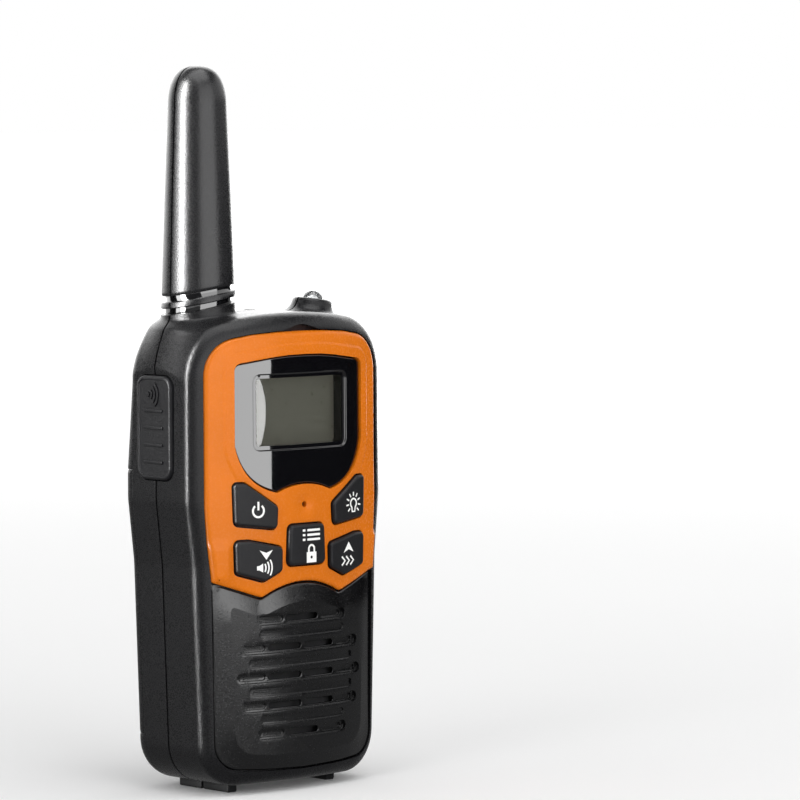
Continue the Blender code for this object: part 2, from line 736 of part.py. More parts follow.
def talk_parts():
    z0, z1 = TALK_Z
    middle_y, middle_z = sum(TALK_Y) / 2, (z0 + z1) / 2
    bar = along_x(talk_opening(0), -HALF_WIDTH_TOP - TALK_PROUD, -27.0)
    for k in range(4):
        z = 78.2 + 4.0 * k
        face = -HALF_WIDTH_TOP - TALK_PROUD
        join(bar, block(face - 0.35, face + 0.5, middle_y - 3.5, middle_y + 3.5, z - 0.45, z + 0.45))
    flange = along_x(talk_opening(0.6), -27.2, -26.4)
    join(bar, flange, rod((-26.6, middle_y, middle_z), 2.0, "X", 1.6, 12))
    finish_part(bar, "talk_button", "rubber", (-HALF_WIDTH_TOP, middle_y, middle_z))
    switch = block(-23.6, -20.4, middle_y - 3, middle_y + 3, middle_z - 3, middle_z + 3)
    plunger = rod((-24.8 + TALK_TRAVEL, middle_y, middle_z), 1.5, "X", 1.6, 12)
    cut(switch, block(-21.0, -19, middle_y - 2, middle_y + 2, middle_z - 2, middle_z + 2))
    finish_part(join(switch, plunger), "talk_switch", "steel")


# ---------------------------------------------------------------- power


def power_parts():
    for k in range(4):
        x = (k - 1.5) * CELL_PITCH
        sign = 1 if k % 2 == 0 else -1
        low, high = CELL_Z
        cell = rod((x, CELL_Y, low if sign > 0 else high), CELL_R, "Z", sign * (high - low - 0.8), 20)
        join(cell, rod((x, CELL_Y, (high - 1.5) if sign > 0 else (low + 1.5)), 1.9, "Z", sign * 1.5, 12))
        finish_part(cell, f"battery_cell_{k + 1}", "cell")
    for end, (z, step) in {"top": (TRAY[3] - 0.35, -1), "bottom": (TRAY[1] + 0.35, 1)}.items():
        for pair in (0, 1):
            middle = (pair * 2 - 1) * CELL_PITCH
            low, high = sorted((z, z + step * 0.5))
            strip = block(middle - 10, middle + 10, CELL_Y - STRIP_REACH, CELL_Y + STRIP_REACH, low, high)
            for k in (2 * pair, 2 * pair + 1):
                x = (k - 1.5) * CELL_PITCH
                sprung = (end == "bottom") == (k % 2 == 0)
                if sprung:
                    join(strip, contact_spring(x, z + step * 0.3, step))
                else:
                    join(strip, rod((x, CELL_Y, z + step * 0.3), 1.6, "Z", step * 4.1, 10))
            finish_part(strip, f"{end}_contact_{pair + 1}", "steel")


def contact_spring(x, z, step):
    """A coil that narrows from the contact strip to the cell."""
    points = []
    for k in range(19):
        share = k / 18
        angle = 2 * pi * k / 6
        radius = SPRING_R - 1.1 * share
        points.append((x + radius * cos(angle), CELL_Y + radius * sin(angle), z + step * 3.8 * share))
    return tube_along(points, 0.4, 4, "spring")


def case_screws():
    for k, (x, z) in enumerate(SCREWS):
        screw = join(rod((x, 23.7, z), 2.2, "Y", 1.7, 16), rod((x, 12.5, z), 0.95, "Y", 11.6, 10))
        for wide, tall in ((1.4, 0.3), (0.3, 1.4)):
            cut(screw, block(x - wide, x + wide, 24.7, 27, z - tall, z + tall))
        finish_part(screw, f"case_screw_{k + 1}", "steel")


def feet():
    x0, x1, y0, y1 = FOOT
    for side, name in ((-1, "left_foot"), (1, "right_foot")):
        low, high = sorted((side * x0, side * x1))
        finish_part(block(low, high, y0, y1, 0, BODY_BOTTOM - GAP / 2), name, "rubber")


def leads():
    start = {"red": -3.0, "black": 3.0}
    for colour, x in start.items():
        route = [(x, 13.1, 30), (x, 14.2, 33), (1.4 * x, 15.4, 38)]
        route += [(2 * x, 15.4, 43), (2.2 * x, 14.6, 48), (2.2 * x, 12.9, 50.5)]
        smooth = [spline_point(route, t / 14) for t in range(15)]
        material = "red" if colour == "red" else "rubber"
        finish_part(tube_along(smooth, 0.5, 6, "lead"), f"speaker_lead_{colour}", material)


def spline_point(points, share):
    """A point on the smooth curve through these points."""
    place = share * (len(points) - 1)
    i = min(int(place), len(points) - 2)
    t = place - i
    p = [Vector(points[max(0, min(len(points) - 1, i + k))]) for k in (-1, 0, 1, 2)]
    linear = p[2] - p[0]
    square = 2 * p[0] - 5 * p[1] + 4 * p[2] - p[3]
    cube = 3 * p[1] - p[0] - 3 * p[2] + p[3]
    return 0.5 * (2 * p[1] + linear * t + square * t**2 + cube * t**3)


# ---------------------------------------------------------------- build

for old in list(bpy.data.objects):
    bpy.data.objects.remove(old)

PARTS = bpy.data.collections.new("walkie_talkie")
CUTTERS = bpy.data.collections.new("cutters")
bpy.context.scene.collection.children.link(PARTS)
bpy.context.scene.collection.children.link(CUTTERS)

MATERIALS = {}
for slot, (colour, roughness, metallic) in COLOURS.items():
    material = bpy.data.materials.new(slot)
    material.use_nodes = True
    shader = material.node_tree.nodes["Principled BSDF"]
    shader.inputs["Base Color"].default_value = (*colour, 1)
    shader.inputs["Roughness"].default_value = roughness
    shader.inputs["Metallic"].default_value = metallic
    MATERIALS[slot] = material

FRAME = bpy.data.objects.new("radio_frame", None)
FRAME.location = (0, -ORIGIN_BACK * MM, 0)
PARTS.objects.link(FRAME)

front_case()
rear_case()
battery_cover()
front_bezel()
screen_lens()
speaker_grille()
for key in KEYS:
    key_cap(key)
keypad_mat()
lcd_parts()
main_board()
rf_shield()
speaker_parts()
mic_parts()
lamp_parts()
headset_jack()
antenna_coil()
talk_parts()
power_parts()
case_screws()
feet()
leads()
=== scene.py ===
"""Looks of the handheld two-way radio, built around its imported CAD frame.

Lengths are millimetres in the body frame until a piece is placed: X to the right, Y to the back
with 0 on the bezel's middle, Z up from the floor. Face pieces are made flat and then bent onto the
bowed face.
"""

import json
from math import cos, hypot, pi, radians, sin, sqrt

import bmesh
import bpy
import numpy as np
from mathutils import Matrix, Vector


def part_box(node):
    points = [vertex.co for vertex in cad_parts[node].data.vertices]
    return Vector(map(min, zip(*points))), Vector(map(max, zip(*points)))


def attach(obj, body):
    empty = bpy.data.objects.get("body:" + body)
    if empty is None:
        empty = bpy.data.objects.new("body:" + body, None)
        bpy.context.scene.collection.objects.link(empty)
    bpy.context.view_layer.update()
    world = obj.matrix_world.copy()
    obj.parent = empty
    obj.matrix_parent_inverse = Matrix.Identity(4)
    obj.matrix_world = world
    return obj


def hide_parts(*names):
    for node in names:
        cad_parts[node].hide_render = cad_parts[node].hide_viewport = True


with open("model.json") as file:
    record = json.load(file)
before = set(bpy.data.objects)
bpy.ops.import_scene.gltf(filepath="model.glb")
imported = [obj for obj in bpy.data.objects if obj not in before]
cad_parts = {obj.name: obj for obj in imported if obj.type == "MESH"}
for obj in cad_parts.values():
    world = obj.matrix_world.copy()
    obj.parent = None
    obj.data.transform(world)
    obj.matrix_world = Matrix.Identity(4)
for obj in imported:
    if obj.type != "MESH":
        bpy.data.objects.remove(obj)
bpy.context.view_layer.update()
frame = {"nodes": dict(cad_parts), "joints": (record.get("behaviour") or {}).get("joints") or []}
joints = {joint["name"]: joint for joint in frame["joints"]}

MM = 0.001
FACE_Y = joints["menu_press"]["pos_m"][1]

# ------------ driving sizes


def mm_box(node):
    """A CAD node's corners in body millimetres."""
    low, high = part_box(node)
    back = Vector((0, FACE_Y, 0))
    return (low - back) / MM, (high - back) / MM


case_low, case_high = mm_box("front_case")
cover_low, cover_high = mm_box("battery_cover")
TALK_X = mm_box("talk_button")[0].x
foot_low, foot_high = mm_box("right_foot")

FOOT_X = (foot_low.x, foot_high.x)
FOOT_Y = (foot_low.y, foot_high.y)
HALF_WIDTH = case_high.x
DEPTH = mm_box("rear_case")[1].y
TIP_Z = case_high.z
BODY_TOP = 112.7
BODY_BOTTOM = case_low.z
RIM_Y = 0.9
PARTING_Y = 18.7
SEAM = 0.25
GAP = 0.22
WALL = 2.2
FRONT_R = 4.2
REAR_R = 5.0
FACE_RADIUS = 80.0
BOW_FULL_Y = 4.4
BOW_END_Y = 14.0
ANTENNA = (-16.7, PARTING_Y)
ANTENNA_TILT = (0.155, -0.08)
LAMP_ROOT = (17.5, PARTING_Y, 106.0)
LAMP_TILT = radians(9.3)
LAMP_AXIS = (sin(LAMP_TILT), 0, cos(LAMP_TILT))
BOSS_R = 4.75
COVER_Z = (cover_low.z, cover_high.z)
COVER_Y = cover_low.y
TAPER_Y = 22.0
TAPER_RISE = 30.0
TAPER_SHARE = 0.32
CUT_Z = 113.7
PLATE = 1.7
KEY_PROUD = 0.9
SLOT_ROWS = ((41.0, 13.6), (34.3, 18.0), (27.5, 19.0), (20.7, 17.8), (14.1, 13.7))
GROOVE_ROWS = ((37.7, 13.1), (30.8, 16.1), (24.1, 16.1), (17.5, 12.9))
SCREWS = ((-25.0, 102.4), (25.0, 102.4), (-20.5, 8.6), (20.5, 8.6))
TRAY = (-22.2, 17.8, 22.2, 72.6)
TRAY_WALL = 1.4
TRAY_FLOOR = 20.15
CELL_R = 5.2
CELL_BAND = 10.5
VOXEL = 0.55
MIC_Z = 67.6


# ------------ outlines


def arc(a, b, sagitta, steps):
    """Points strictly between a and b on the arc that rises by sagitta to the left of the walk."""
    (ax, az), (bx, bz) = a, b
    half = sqrt((bx - ax) ** 2 + (bz - az) ** 2) / 2
    ux, uz = (bx - ax) / (2 * half), (bz - az) / (2 * half)
    points = []
    for i in range(1, steps):
        t = 2 * i / steps - 1
        lift = sagitta * (1 - t * t)
        x = (ax + bx) / 2 + ux * half * t - uz * lift
        z = (az + bz) / 2 + uz * half * t + ux * lift
        points.append((x, z))
    return points


def fillet(corners, steps):
    """A closed outline from (x, z, radius) corners, each rounded by an arc in this many steps."""
    points = []
    count = len(corners)
    for i, (x, z, radius) in enumerate(corners):
        here = Vector((x, z))
        if radius == 0:
            points.append((x, z))
            continue
        back = (Vector(corners[i - 1][:2]) - here).normalized()
        ahead = (Vector(corners[(i + 1) % count][:2]) - here).normalized()
        half = back.angle(ahead) / 2
        reach = radius * cos(half) / max(0.01, sin(half))
        centre = here + (back + ahead).normalized() * (radius / sin(half))
        first, last = here + back * reach - centre, here + ahead * reach - centre
        turn = first.angle(last)
        for k in range(steps + 1):
            t = k / steps
            point = centre + (first * sin((1 - t) * turn) + last * sin(t * turn)) / sin(turn)
            points.append((point.x, point.y))
    return points


def mirrored(right):
    left = [(-x, z) + tuple(rest) for x, z, *rest in reversed(right) if x > 0.001]
    return [tuple(p) for p in right] + left


def sharp(points):
    return [(x, z, 0) for x, z in points]


def inset(points, distance):
    """The outline moved inwards; a negative distance moves it outwards."""
    count = len(points)
    pairs = [(points[i - 1], points[i]) for i in range(count)]
    area = sum(a[0] * b[1] - b[0] * a[1] for a, b in pairs)
    side = 1 if area > 0 else -1
    moved = []
    for i in range(count):
        here = Vector(points[i])
        back = (here - Vector(points[i - 1])).normalized()
        ahead = (Vector(points[(i + 1) % count]) - here).normalized()
        normal_a = Vector((-back.y, back.x)) * side
        normal_b = Vector((-ahead.y, ahead.x)) * side
        middle = (normal_a + normal_b).normalized()
        point = here + middle * (distance / max(0.35, middle.dot(normal_a)))
        moved.append((point.x, point.y))
    return moved


def body_outline():
    right = [
        (0, BODY_TOP, 0),
        *sharp([(x, BODY_TOP - 0.0044 * x * x) for x in (4, 8, 12, 15)]),
        (HALF_WIDTH - 0.2, BODY_TOP - 3.4, 14.0),
        (HALF_WIDTH, 69.0, 12),
        (28.3, 54.0, 30),
        (26.5, BODY_BOTTOM, 10),
        (0, BODY_BOTTOM, 0),
    ]
    return fillet(mirrored(right), 12)


def bezel_bottom():
    """Right half of the bezel's lower edge, from its outer corner to the middle."""
    corner, lobe, crown = (24.8, 50.5), (12.1, 46.3), (0, 49.5)
    arch = arc(lobe, (-lobe[0], lobe[1]), -3.2, 20)[:9]
    return [(*corner, 0.3), (*lobe, 1.0), *sharp(arch[1:]), (*crown, 0)]


def bezel_outline():
    top = [(0, 108.4, 0), (7, 108.35, 0), (14, 107.9, 0), (26.5, 106.0, 9.0)]
    side = [(26.5, 68, 30), (25.9, 60, 0)]
    return fillet(mirrored(top + side + bezel_bottom()), 10)


def panel_outline():
    right = [(0, 49.15, 0)] + sharp(arc((-12.1, 45.95), (12.1, 45.95), 3.2, 20)[10:-1])
    right += [(12.1, 45.95, 1.0), (24.8, 50.15, 0.3), (24.1, 6.4, 6.5), (12, 5.6, 0), (0, 5.3, 0)]
    return fillet(mirrored(right), 10)


def lens_outline():
    corner, side, valley = (19.4, 100.9), (19.4, 82.0), (8.2, 71.0)
    right = [(0, 102.7, 0), (5, 102.6, 0), (9.7, 102.2, 0), (*corner, 1.6), (*side, 0)]
    right += sharp(arc(side, valley, 2.6, 14)) + [(*valley, 0.5)]
    right += sharp(arc(valley, (-valley[0], valley[1]), -1.7, 16)[1:7]) + [(0, 72.7, 0)]
    return fillet(mirrored(right), 6)


def box_outline(x0, z0, x1, z1, radius, steps=6):
    corners = [(x0, z0, radius), (x1, z0, radius), (x1, z1, radius), (x0, z1, radius)]
    return fillet(corners, steps)


def circle(x, z, radius, steps=48):
    turns = [2 * pi * i / steps for i in range(steps)]
    return [(x + radius * cos(t), z + radius * sin(t)) for t in turns]


def flipped(corners):
    return [(-x, z, r) for x, z, r in reversed(corners)]


POWER_KEY = [(-20.2, 73.4, 0.9), (-17.4, 73.4, 1.2), (-8.5, 67.5, 1.2), (-8.8, 62.2, 1.2)]
POWER_KEY.append((-19.9, 63.6, 1.2))
DOWN_KEY = [(-19.9, 59.9, 1.2), (-16.3, 59.9, 1.2), (-7.3, 58.0, 1.2), (-7.4, 52.4, 1.2)]
DOWN_KEY += [(-12.4, 50.1, 1.4), (-19.7, 52.2, 1.2)]
MENU_KEY = [(-5.4, 63.0, 1.3), (5.4, 63.0, 1.3), (5.8, 53.4, 1.3), (-5.8, 53.4, 1.3)]
KEYS = {
    "power_button": POWER_KEY,
    "light_button": flipped(POWER_KEY),
    "menu_button": MENU_KEY,
    "down_button": DOWN_KEY,
    "up_button": flipped(DOWN_KEY),
}


# ------------ mesh tools


def add_object(name, data):
    obj = bpy.data.objects.new(name, data)
    bpy.context.scene.collection.objects.link(obj)
    return obj


def new_object(name, bm):
    mesh = bpy.data.meshes.new(name)
    bmesh.ops.recalc_face_normals(bm, faces=bm.faces)
    bm.to_mesh(mesh)
    bm.free()
    return add_object(name, mesh)


def bake(obj):
    """Applies the object's modifiers."""
    bpy.context.view_layer.update()
    graph = bpy.context.evaluated_depsgraph_get()
    obj.data = bpy.data.meshes.new_from_object(obj.evaluated_get(graph))
    obj.modifiers.clear()
    return obj


def slab(points, y0, y1, front=0.0, rear=0.0, segments=5, name="cutter"):
    """A flat (x, z) outline extruded from y0 to y1, with its front and rear edges rounded."""
    bm = bmesh.new()
    face = bm.faces.new([bm.verts.new((x * MM, y0 * MM, z * MM)) for x, z in points])
    pushed = bmesh.ops.extrude_face_region(bm, geom=[face], use_keep_orig=True)["geom"]
    moved = [item for item in pushed if isinstance(item, bmesh.types.BMVert)]
    bmesh.ops.translate(bm, verts=moved, vec=(0, (y1 - y0) * MM, 0))
    for y, radius in ((y0, front), (y1, rear)):
        if radius:
            rim = [e for e in bm.edges if all(abs(v.co.y - y * MM) < 1e-6 for v in e.verts)]
            options = {"segments": segments, "profile": 0.5, "affect": "EDGES"}
            bmesh.ops.bevel(bm, geom=rim, offset=radius * MM, **options)
    return new_object(name, bm)


def block(x0, x1, y0, y1, z0, z1):
    bm = bmesh.new()
    bmesh.ops.create_cube(bm, size=1)
    size = Matrix.Diagonal(((x1 - x0) * MM, (y1 - y0) * MM, (z1 - z0) * MM, 1))
    place = Matrix.Translation(Vector(((x0 + x1) / 2, (y0 + y1) / 2, (z0 + z1) / 2)) * MM)
    bmesh.ops.transform(bm, matrix=place @ size, verts=bm.verts)
    return new_object("cutter", bm)


def rod(start, end, radius, end_radius=None):
    """A cylinder or cone between two points."""
    start, end = Vector(start) * MM, Vector(end) * MM
    radii = {"radius1": radius * MM, "radius2": (end_radius or radius) * MM}
    bm = bmesh.new()
    bmesh.ops.create_cone(bm, cap_ends=True, segments=48, depth=(end - start).length, **radii)
    turn = Vector((0, 0, 1)).rotation_difference(end - start).to_matrix().to_4x4()
    bmesh.ops.transform(bm, matrix=Matrix.Translation((start + end) / 2) @ turn, verts=bm.verts)
    return new_object("cutter", bm)


def turned(profile, centre, sides, name="cutter"):
    """Turns (radius, z) points, listed from bottom to top, about an upright axis."""
    bm = bmesh.new()
    outline = [(0, profile[-1][1]), *reversed(profile), (0, profile[0][1])]
    chain = [bm.verts.new((x * MM, 0, z * MM)) for x, z in outline]
    for upper, lower in zip(chain, chain[1:]):
        bm.edges.new((upper, lower))
    obj = new_object(name, bm)
    screw = obj.modifiers.new("turn", "SCREW")
    screw.steps = sides
    screw.render_steps = sides
    screw.use_merge_vertices = True
    screw.merge_threshold = 0.00001
    bake(obj)
    obj.data.transform(Matrix.Translation(Vector((*centre, 0)) * MM))
    return obj


def combine(obj, others, operation):
    for other in others:
        modifier = obj.modifiers.new(operation.lower(), "BOOLEAN")
        modifier.operation = operation
        modifier.solver = "MANIFOLD"
        modifier.object = other
        bake(obj)
        bpy.data.objects.remove(other)
    return obj


def cut(obj, *others):
    return combine(obj, others, "DIFFERENCE")


def join(obj, *others):
    return combine(obj, others, "UNION")


def keep(obj, *others):
    return combine(obj, others, "INTERSECT")


def gathered(pieces, name):
    """One object from several loose pieces."""
    bm = bmesh.new()
    for piece in pieces:
        bm.from_mesh(piece.data)
        bpy.data.objects.remove(piece)
    return new_object(name, bm)


def copy(obj, name="copy"):
    return add_object(name, obj.data.copy())


def soften(obj, width, segments=3, angle=40, clamp=True):
    """Rounds every edge sharper than this angle."""
    bevel = obj.modifiers.new("round", "BEVEL")
    bevel.width = width * MM
    bevel.segments = segments
    bevel.limit_method = "ANGLE"
    bevel.angle_limit = radians(angle)
    bevel.use_clamp_overlap = clamp
    return bake(obj)


def move_verts(obj, change):
    """change takes and returns an array of body millimetres, one row for each vertex."""
    count = len(obj.data.vertices)
    flat = np.empty(count * 3)
    obj.data.vertices.foreach_get("co", flat)
    moved = change(flat.reshape(-1, 3) / MM)
    obj.data.vertices.foreach_set("co", (moved * MM).ravel())
    obj.data.update()
    return obj


def sliced(obj, planes):
    """Adds edges where these planes, (point, normal) pairs, cross the piece."""
    bm = bmesh.new()
    bm.from_mesh(obj.data)
    for point, normal in planes:
        whole = bm.verts[:] + bm.edges[:] + bm.faces[:]
        place = Vector(point) * MM
        bmesh.ops.bisect_plane(bm, geom=whole, dist=1e-8, plane_co=place, plane_no=normal)
    bm.to_mesh(obj.data)
    bm.free()
    return obj


def grid_slices(obj, step_x, step_z):
    """Adds edges on an even grid, so that the piece can bend and take relief; step 0 adds none."""
    planes = []
    for axis, step in ((0, step_x), (2, step_z)):
        if step:
            places = [v.co[axis] / MM for v in obj.data.vertices]
            normal = Vector([float(k == axis) for k in range(3)])
            grid = np.arange(min(places) + step / 2, max(places), step)
            planes += [(normal * float(place), normal) for place in grid]
    return sliced(obj, planes)


def seam_planes(axis, place, offsets):
    """Planes on both sides of a seam, whose edges let it draw in."""
    normal = Vector([float(k == axis) for k in range(3)])
    return [(normal * (place + offset), normal) for offset in offsets]


def paint(obj, materials, choose):
    """Gives the piece these materials; choose picks one's index for a face's centre, in metres."""
    obj.data.materials.clear()
    for material in materials:
        obj.data.materials.append(material)
    for face in obj.data.polygons:
        face.material_index = choose(face.center)
    return obj


def bow_depth(x):
    return FACE_RADIUS - np.sqrt(FACE_RADIUS**2 - np.clip(x, -29, 29) ** 2)


def bow_shift(points):
    """Sets flat face points back onto the bowed face."""
    share = np.clip((BOW_END_Y - points[:, 1]) / (BOW_END_Y - BOW_FULL_Y), 0, 1)
    moved = points.copy()
    moved[:, 1] += bow_depth(points[:, 0]) * share
    return moved


def bend(obj, step=1.4):
    return move_verts(grid_slices(obj, step, 0), bow_shift)


def edge_distance(points, outline):
    """Signed distance from (x, z) points to a closed outline, negative inside."""
    a = np.array(outline)
    b = np.roll(a, -1, axis=0)
    along = b - a
    length2 = (along**2).sum(1)
    result = np.empty(len(points))
    for start in range(0, len(points), 8000):
        p = points[start : start + 8000, None, :]
        t = np.clip(((p - a) * along).sum(2) / length2, 0, 1)
        near = ((p - a - t[..., None] * along) ** 2).sum(2).min(1)
        px, pz = p[..., 0], p[..., 1]
        crosses = (a[:, 1] > pz) != (b[:, 1] > pz)
        at = a[:, 0] + (pz - a[:, 1]) * along[:, 0] / np.where(along[:, 1] == 0, 1e-9, along[:, 1])
        inside = (crosses & (px < at)).sum(1) % 2 == 1
        result[start : start + 8000] = np.where(inside, -1, 1) * np.sqrt(near)
    return result


def smooth_step(low, high, value):
    t = np.clip((value - low) / (high - low), 0, 1)
    return t * t * (3 - 2 * t)


# ------------ case surface

CASE_OUTLINE = body_outline()


def rounded_max(a, b, radius):
    """Distance to where two half-spaces meet in a rounded edge."""
    qa, qb = a + radius, b + radius
    outside = np.hypot(np.maximum(qa, 0), np.maximum(qb, 0))
    return np.minimum(np.maximum(qa, qb), 0) + outside - radius


def blended(a, b, reach):
    """Union of two distances with a fillet."""
    h = np.maximum(reach - np.abs(a - b), 0) / reach
    return np.minimum(a, b) - h * h * reach / 4


def body_distance(points):
    x, y, z = points.T
    edge = edge_distance(points[:, [0, 2]], CASE_OUTLINE)
    front_share = np.clip((BOW_END_Y - y) / (BOW_END_Y - BOW_FULL_Y), 0, 1)
    flat_y = y - bow_depth(x) * front_share
    rise = np.clip((z - COVER_Z[1]) / TAPER_RISE, 0, 1)
    stretch = 1 - TAPER_SHARE * rise
    rear_y = np.where(y > TAPER_Y, TAPER_Y + (y - TAPER_Y) / stretch, y)
    front = rounded_max(edge, RIM_Y - flat_y, FRONT_R)
    rear = rounded_max(edge, rear_y - DEPTH, REAR_R)
    return np.where(y < 16, front, rear)


def lamp_axis(points):
    """Height along the leaning lamp axis, and distance from it."""
    offset = points - np.array(LAMP_ROOT)
    height = offset @ np.array(LAMP_AXIS)
    spread = np.linalg.norm(offset - np.outer(height, LAMP_AXIS), axis=1)
    return height + LAMP_ROOT[2], spread


def case_distance(points):
    """Case with the antenna's collar and the lamp's boss growing out of it."""
    x, y, z = points.T
    body = body_distance(points)
    radial = np.hypot(x - ANTENNA[0], y - ANTENNA[1])
    collar = np.maximum(radial - (8.78 + np.maximum(CUT_Z - z, 0) * 0.06), 104.0 - z)
    height, spread = lamp_axis(points)
    boss = np.maximum(rounded_max(spread - BOSS_R, height - 114.9, 0.8), LAMP_ROOT[2] - height)
    reach = 0.3 + 7.4 * (1 - smooth_step(108.8, 113.3, z))
    return blended(blended(body, collar, reach), boss, 4.0)


SEAM_REACH = 0.4


def dip(distance):
    """1 on a seam, falling off smoothly beside it."""
    return np.exp(-((distance / SEAM_REACH) ** 2))


def seam_rounding(points):
    """How far the surface draws in beside the parting line and round the battery door."""
    x, y, z = points.T
    door = np.maximum(np.maximum(COVER_Y - y, z - COVER_Z[1]), COVER_Z[0] - z)
    return 0.02 * dip(np.abs(y - PARTING_Y)) + 0.12 * dip(door)


def settle(obj, distance, rounds=4, step=0.02):
    """Slides every vertex onto the zero surface of a distance function."""

    def change(points):
        for _ in range(rounds):
            value = distance(points)
            rises = [distance(points + d) - value for d in np.eye(3) * step]
            slope = np.stack(rises, axis=1) / step
            size = np.maximum((slope**2).sum(1), 0.2)
            points = points - slope * (value / size)[:, None]
        return points

    return move_verts(obj, change)


SPLIT_EDGES = (-0.75, -0.4, 0.4, 0.75)


def case_solid(name, growth, voxel, seams=False):
    """The case surface moved outwards by growth, as one closed mesh; seams draws in its seams."""
    base = slab(inset(CASE_OUTLINE, 0.5 - growth), RIM_Y + 0.5, DEPTH - 0.5, 3, 4)
    bend(base, 4)
    collar = rod((*ANTENNA, 100), (*ANTENNA, 116.5), 9.6 + growth, 8.4 + growth)
    boss = rod(lamp_point(103), lamp_point(114.8), BOSS_R + growth)
    base = gathered((base, collar, boss), name)
    remesh = base.modifiers.new("skin", "REMESH")
    remesh.mode = "VOXEL"
    remesh.voxel_size = voxel * MM
    bake(base)
    if not seams:
        return settle(base, lambda points: case_distance(points) - growth)
    planes = seam_planes(1, PARTING_Y, SPLIT_EDGES)
    for axis, place in ((1, COVER_Y), (2, COVER_Z[0]), (2, COVER_Z[1])):
        planes += seam_planes(axis, place, (-0.7, -0.35, 0.35, 0.7))
    sliced(base, planes)
    return settle(base, lambda points: case_distance(points) + seam_rounding(points))


def leaned(points, level):
    """Tilts what stands above the case top, as the antenna's grooves are tilted."""
    moved = points.copy()
    share = 1 - smooth_step(level + 12, level + 30, points[:, 2])
    across, back = points[:, 0] - ANTENNA[0], points[:, 1] - ANTENNA[1]
    moved[:, 2] += share * (ANTENNA_TILT[0] * across + ANTENNA_TILT[1] * back)
    return moved


GROOVES = ((113.7, 115.15), (116.65, 118.1))
SLEEVE = [(7.4, CUT_Z - 2.0), (7.75, CUT_Z - 0.3), (7.75, 115.05), (7.82, 115.13), (8.6, 115.18)]
SLEEVE += [(8.78, 115.35), (8.8, 116.4), (8.68, 116.58), (7.82, 116.64), (7.75, 116.75)]
SLEEVE += [(7.75, 118.0), (7.82, 118.08), (8.45, 118.14), (8.6, 118.35), (8.62, 119.0)]
SLEEVE += [(8.56, 121.0), (8.22, 130.0), (7.84, 140.0), (7.42, 150.0), (7.07, 158.0), (6.94, 161.5)]


def antenna_profile():
    """Bottom to top, finishing in a rounded tip."""
    base_r, base_z = SLEEVE[-1]
    tip = []
    for i in range(1, 15):
        turn = i / 14 * pi / 2
        radius = base_r * cos(turn) ** 0.72 if i < 14 else 0.02
        tip.append((radius, base_z + (TIP_Z - base_z) * sin(turn)))
    return SLEEVE + tip


def layer(y0, y1, z0=-8, z1=140):
    """A block wider than the case, to keep or remove what lies between two depths."""
    return block(-45, 45, y0, y1, z0, z1)


def make_shells():
    """Front half with its lip, rear half, and the solid that the battery cover is cut from."""
    outer = case_solid("outer", 0, VOXEL, seams=True)
    middle = case_solid("middle", -1.1, VOXEL * 1.5)
    inner = case_solid("inner", -WALL, VOXEL * 1.5)
    above = block(-40, 8, -10, 50, CUT_Z, CUT_Z + 60)
    tilt = Matrix.Identity(4)
    tilt[2][0], tilt[2][1] = ANTENNA_TILT
    tilt[2][3] = -(ANTENNA_TILT[0] * ANTENNA[0] + ANTENNA_TILT[1] * ANTENNA[1]) * MM
    above.data.transform(tilt)
    cut(outer, above)
    cut(outer, rod(lamp_point(113.4), lamp_point(118), 3.2))
    room = keep(inner, layer(-10, 50, z1=109.9))
    cover = copy(outer, "battery_cover_shell")

    front = keep(copy(outer, "front_shell"), layer(-10, PARTING_Y - SEAM))
    rear = keep(outer, layer(PARTING_Y + SEAM, 50))
    rear.name = "rear_shell"
    lip = keep(middle, layer(16.0, PARTING_Y + 1.2, z1=109.5))
    cut(rear, keep(copy(lip), layer(PARTING_Y - 1, PARTING_Y + 1.4)))
    join(front, lip)
    cut(front, copy(room))
    cut(rear, room)
    return front, rear, cover


def lamp_point(height):
    """The point on the lamp's leaning axis at this height."""
    return Vector(LAMP_ROOT) + Vector(LAMP_AXIS) * ((height - LAMP_ROOT[2]) / cos(LAMP_TILT))


def side_slab(outline, x0, x1, name="cutter", rim=0.0):
    """An outline in (y, z) extruded along x; its low-x edge is rounded by rim."""
    obj = slab(outline, x0, x1, front=rim, name=name)
    swap = Matrix(((0, 1, 0, 0), (1, 0, 0, 0), (0, 0, 1, 0), (0, 0, 0, 1)))
    obj.data.transform(swap)
    obj.data.flip_normals()
    return obj


TALK_OUTLINE = box_outline(12.3, 74.0, 24.9, 98.4, 3.0, 8)


def finish_front(front):
    """Seat for the face pieces, with openings for the display, the sound and the keys."""
    seat = slab(inset(BEZEL, -GAP), -6, PLATE + 0.3)
    join(seat, slab(inset(PANEL, -GAP), -6, PLATE + 0.8))
    cut(front, bend(seat, 1.0))
    window = bend(slab(box_outline(-16.8, 77.8, 16.8, 99.4, 1.0), -6, 8.5), 3)
    sound = slab(circle(0, 27.5, 16.5), -6, 8.5)
    cut(front, window, sound)
    for outline in KEYS.values():
        cut(front, slab(inset(fillet(outline, 4), 0.7), -6, 8.5))
    arch = [(x, 108.5 + 1.45 * cos(pi * x / 14) ** 2) for x in np.linspace(7, -7, 29)]
    cut(front, bend(slab([(-7, 106), (7, 106)] + arch, -6, 3.0), 1.5))
    return front


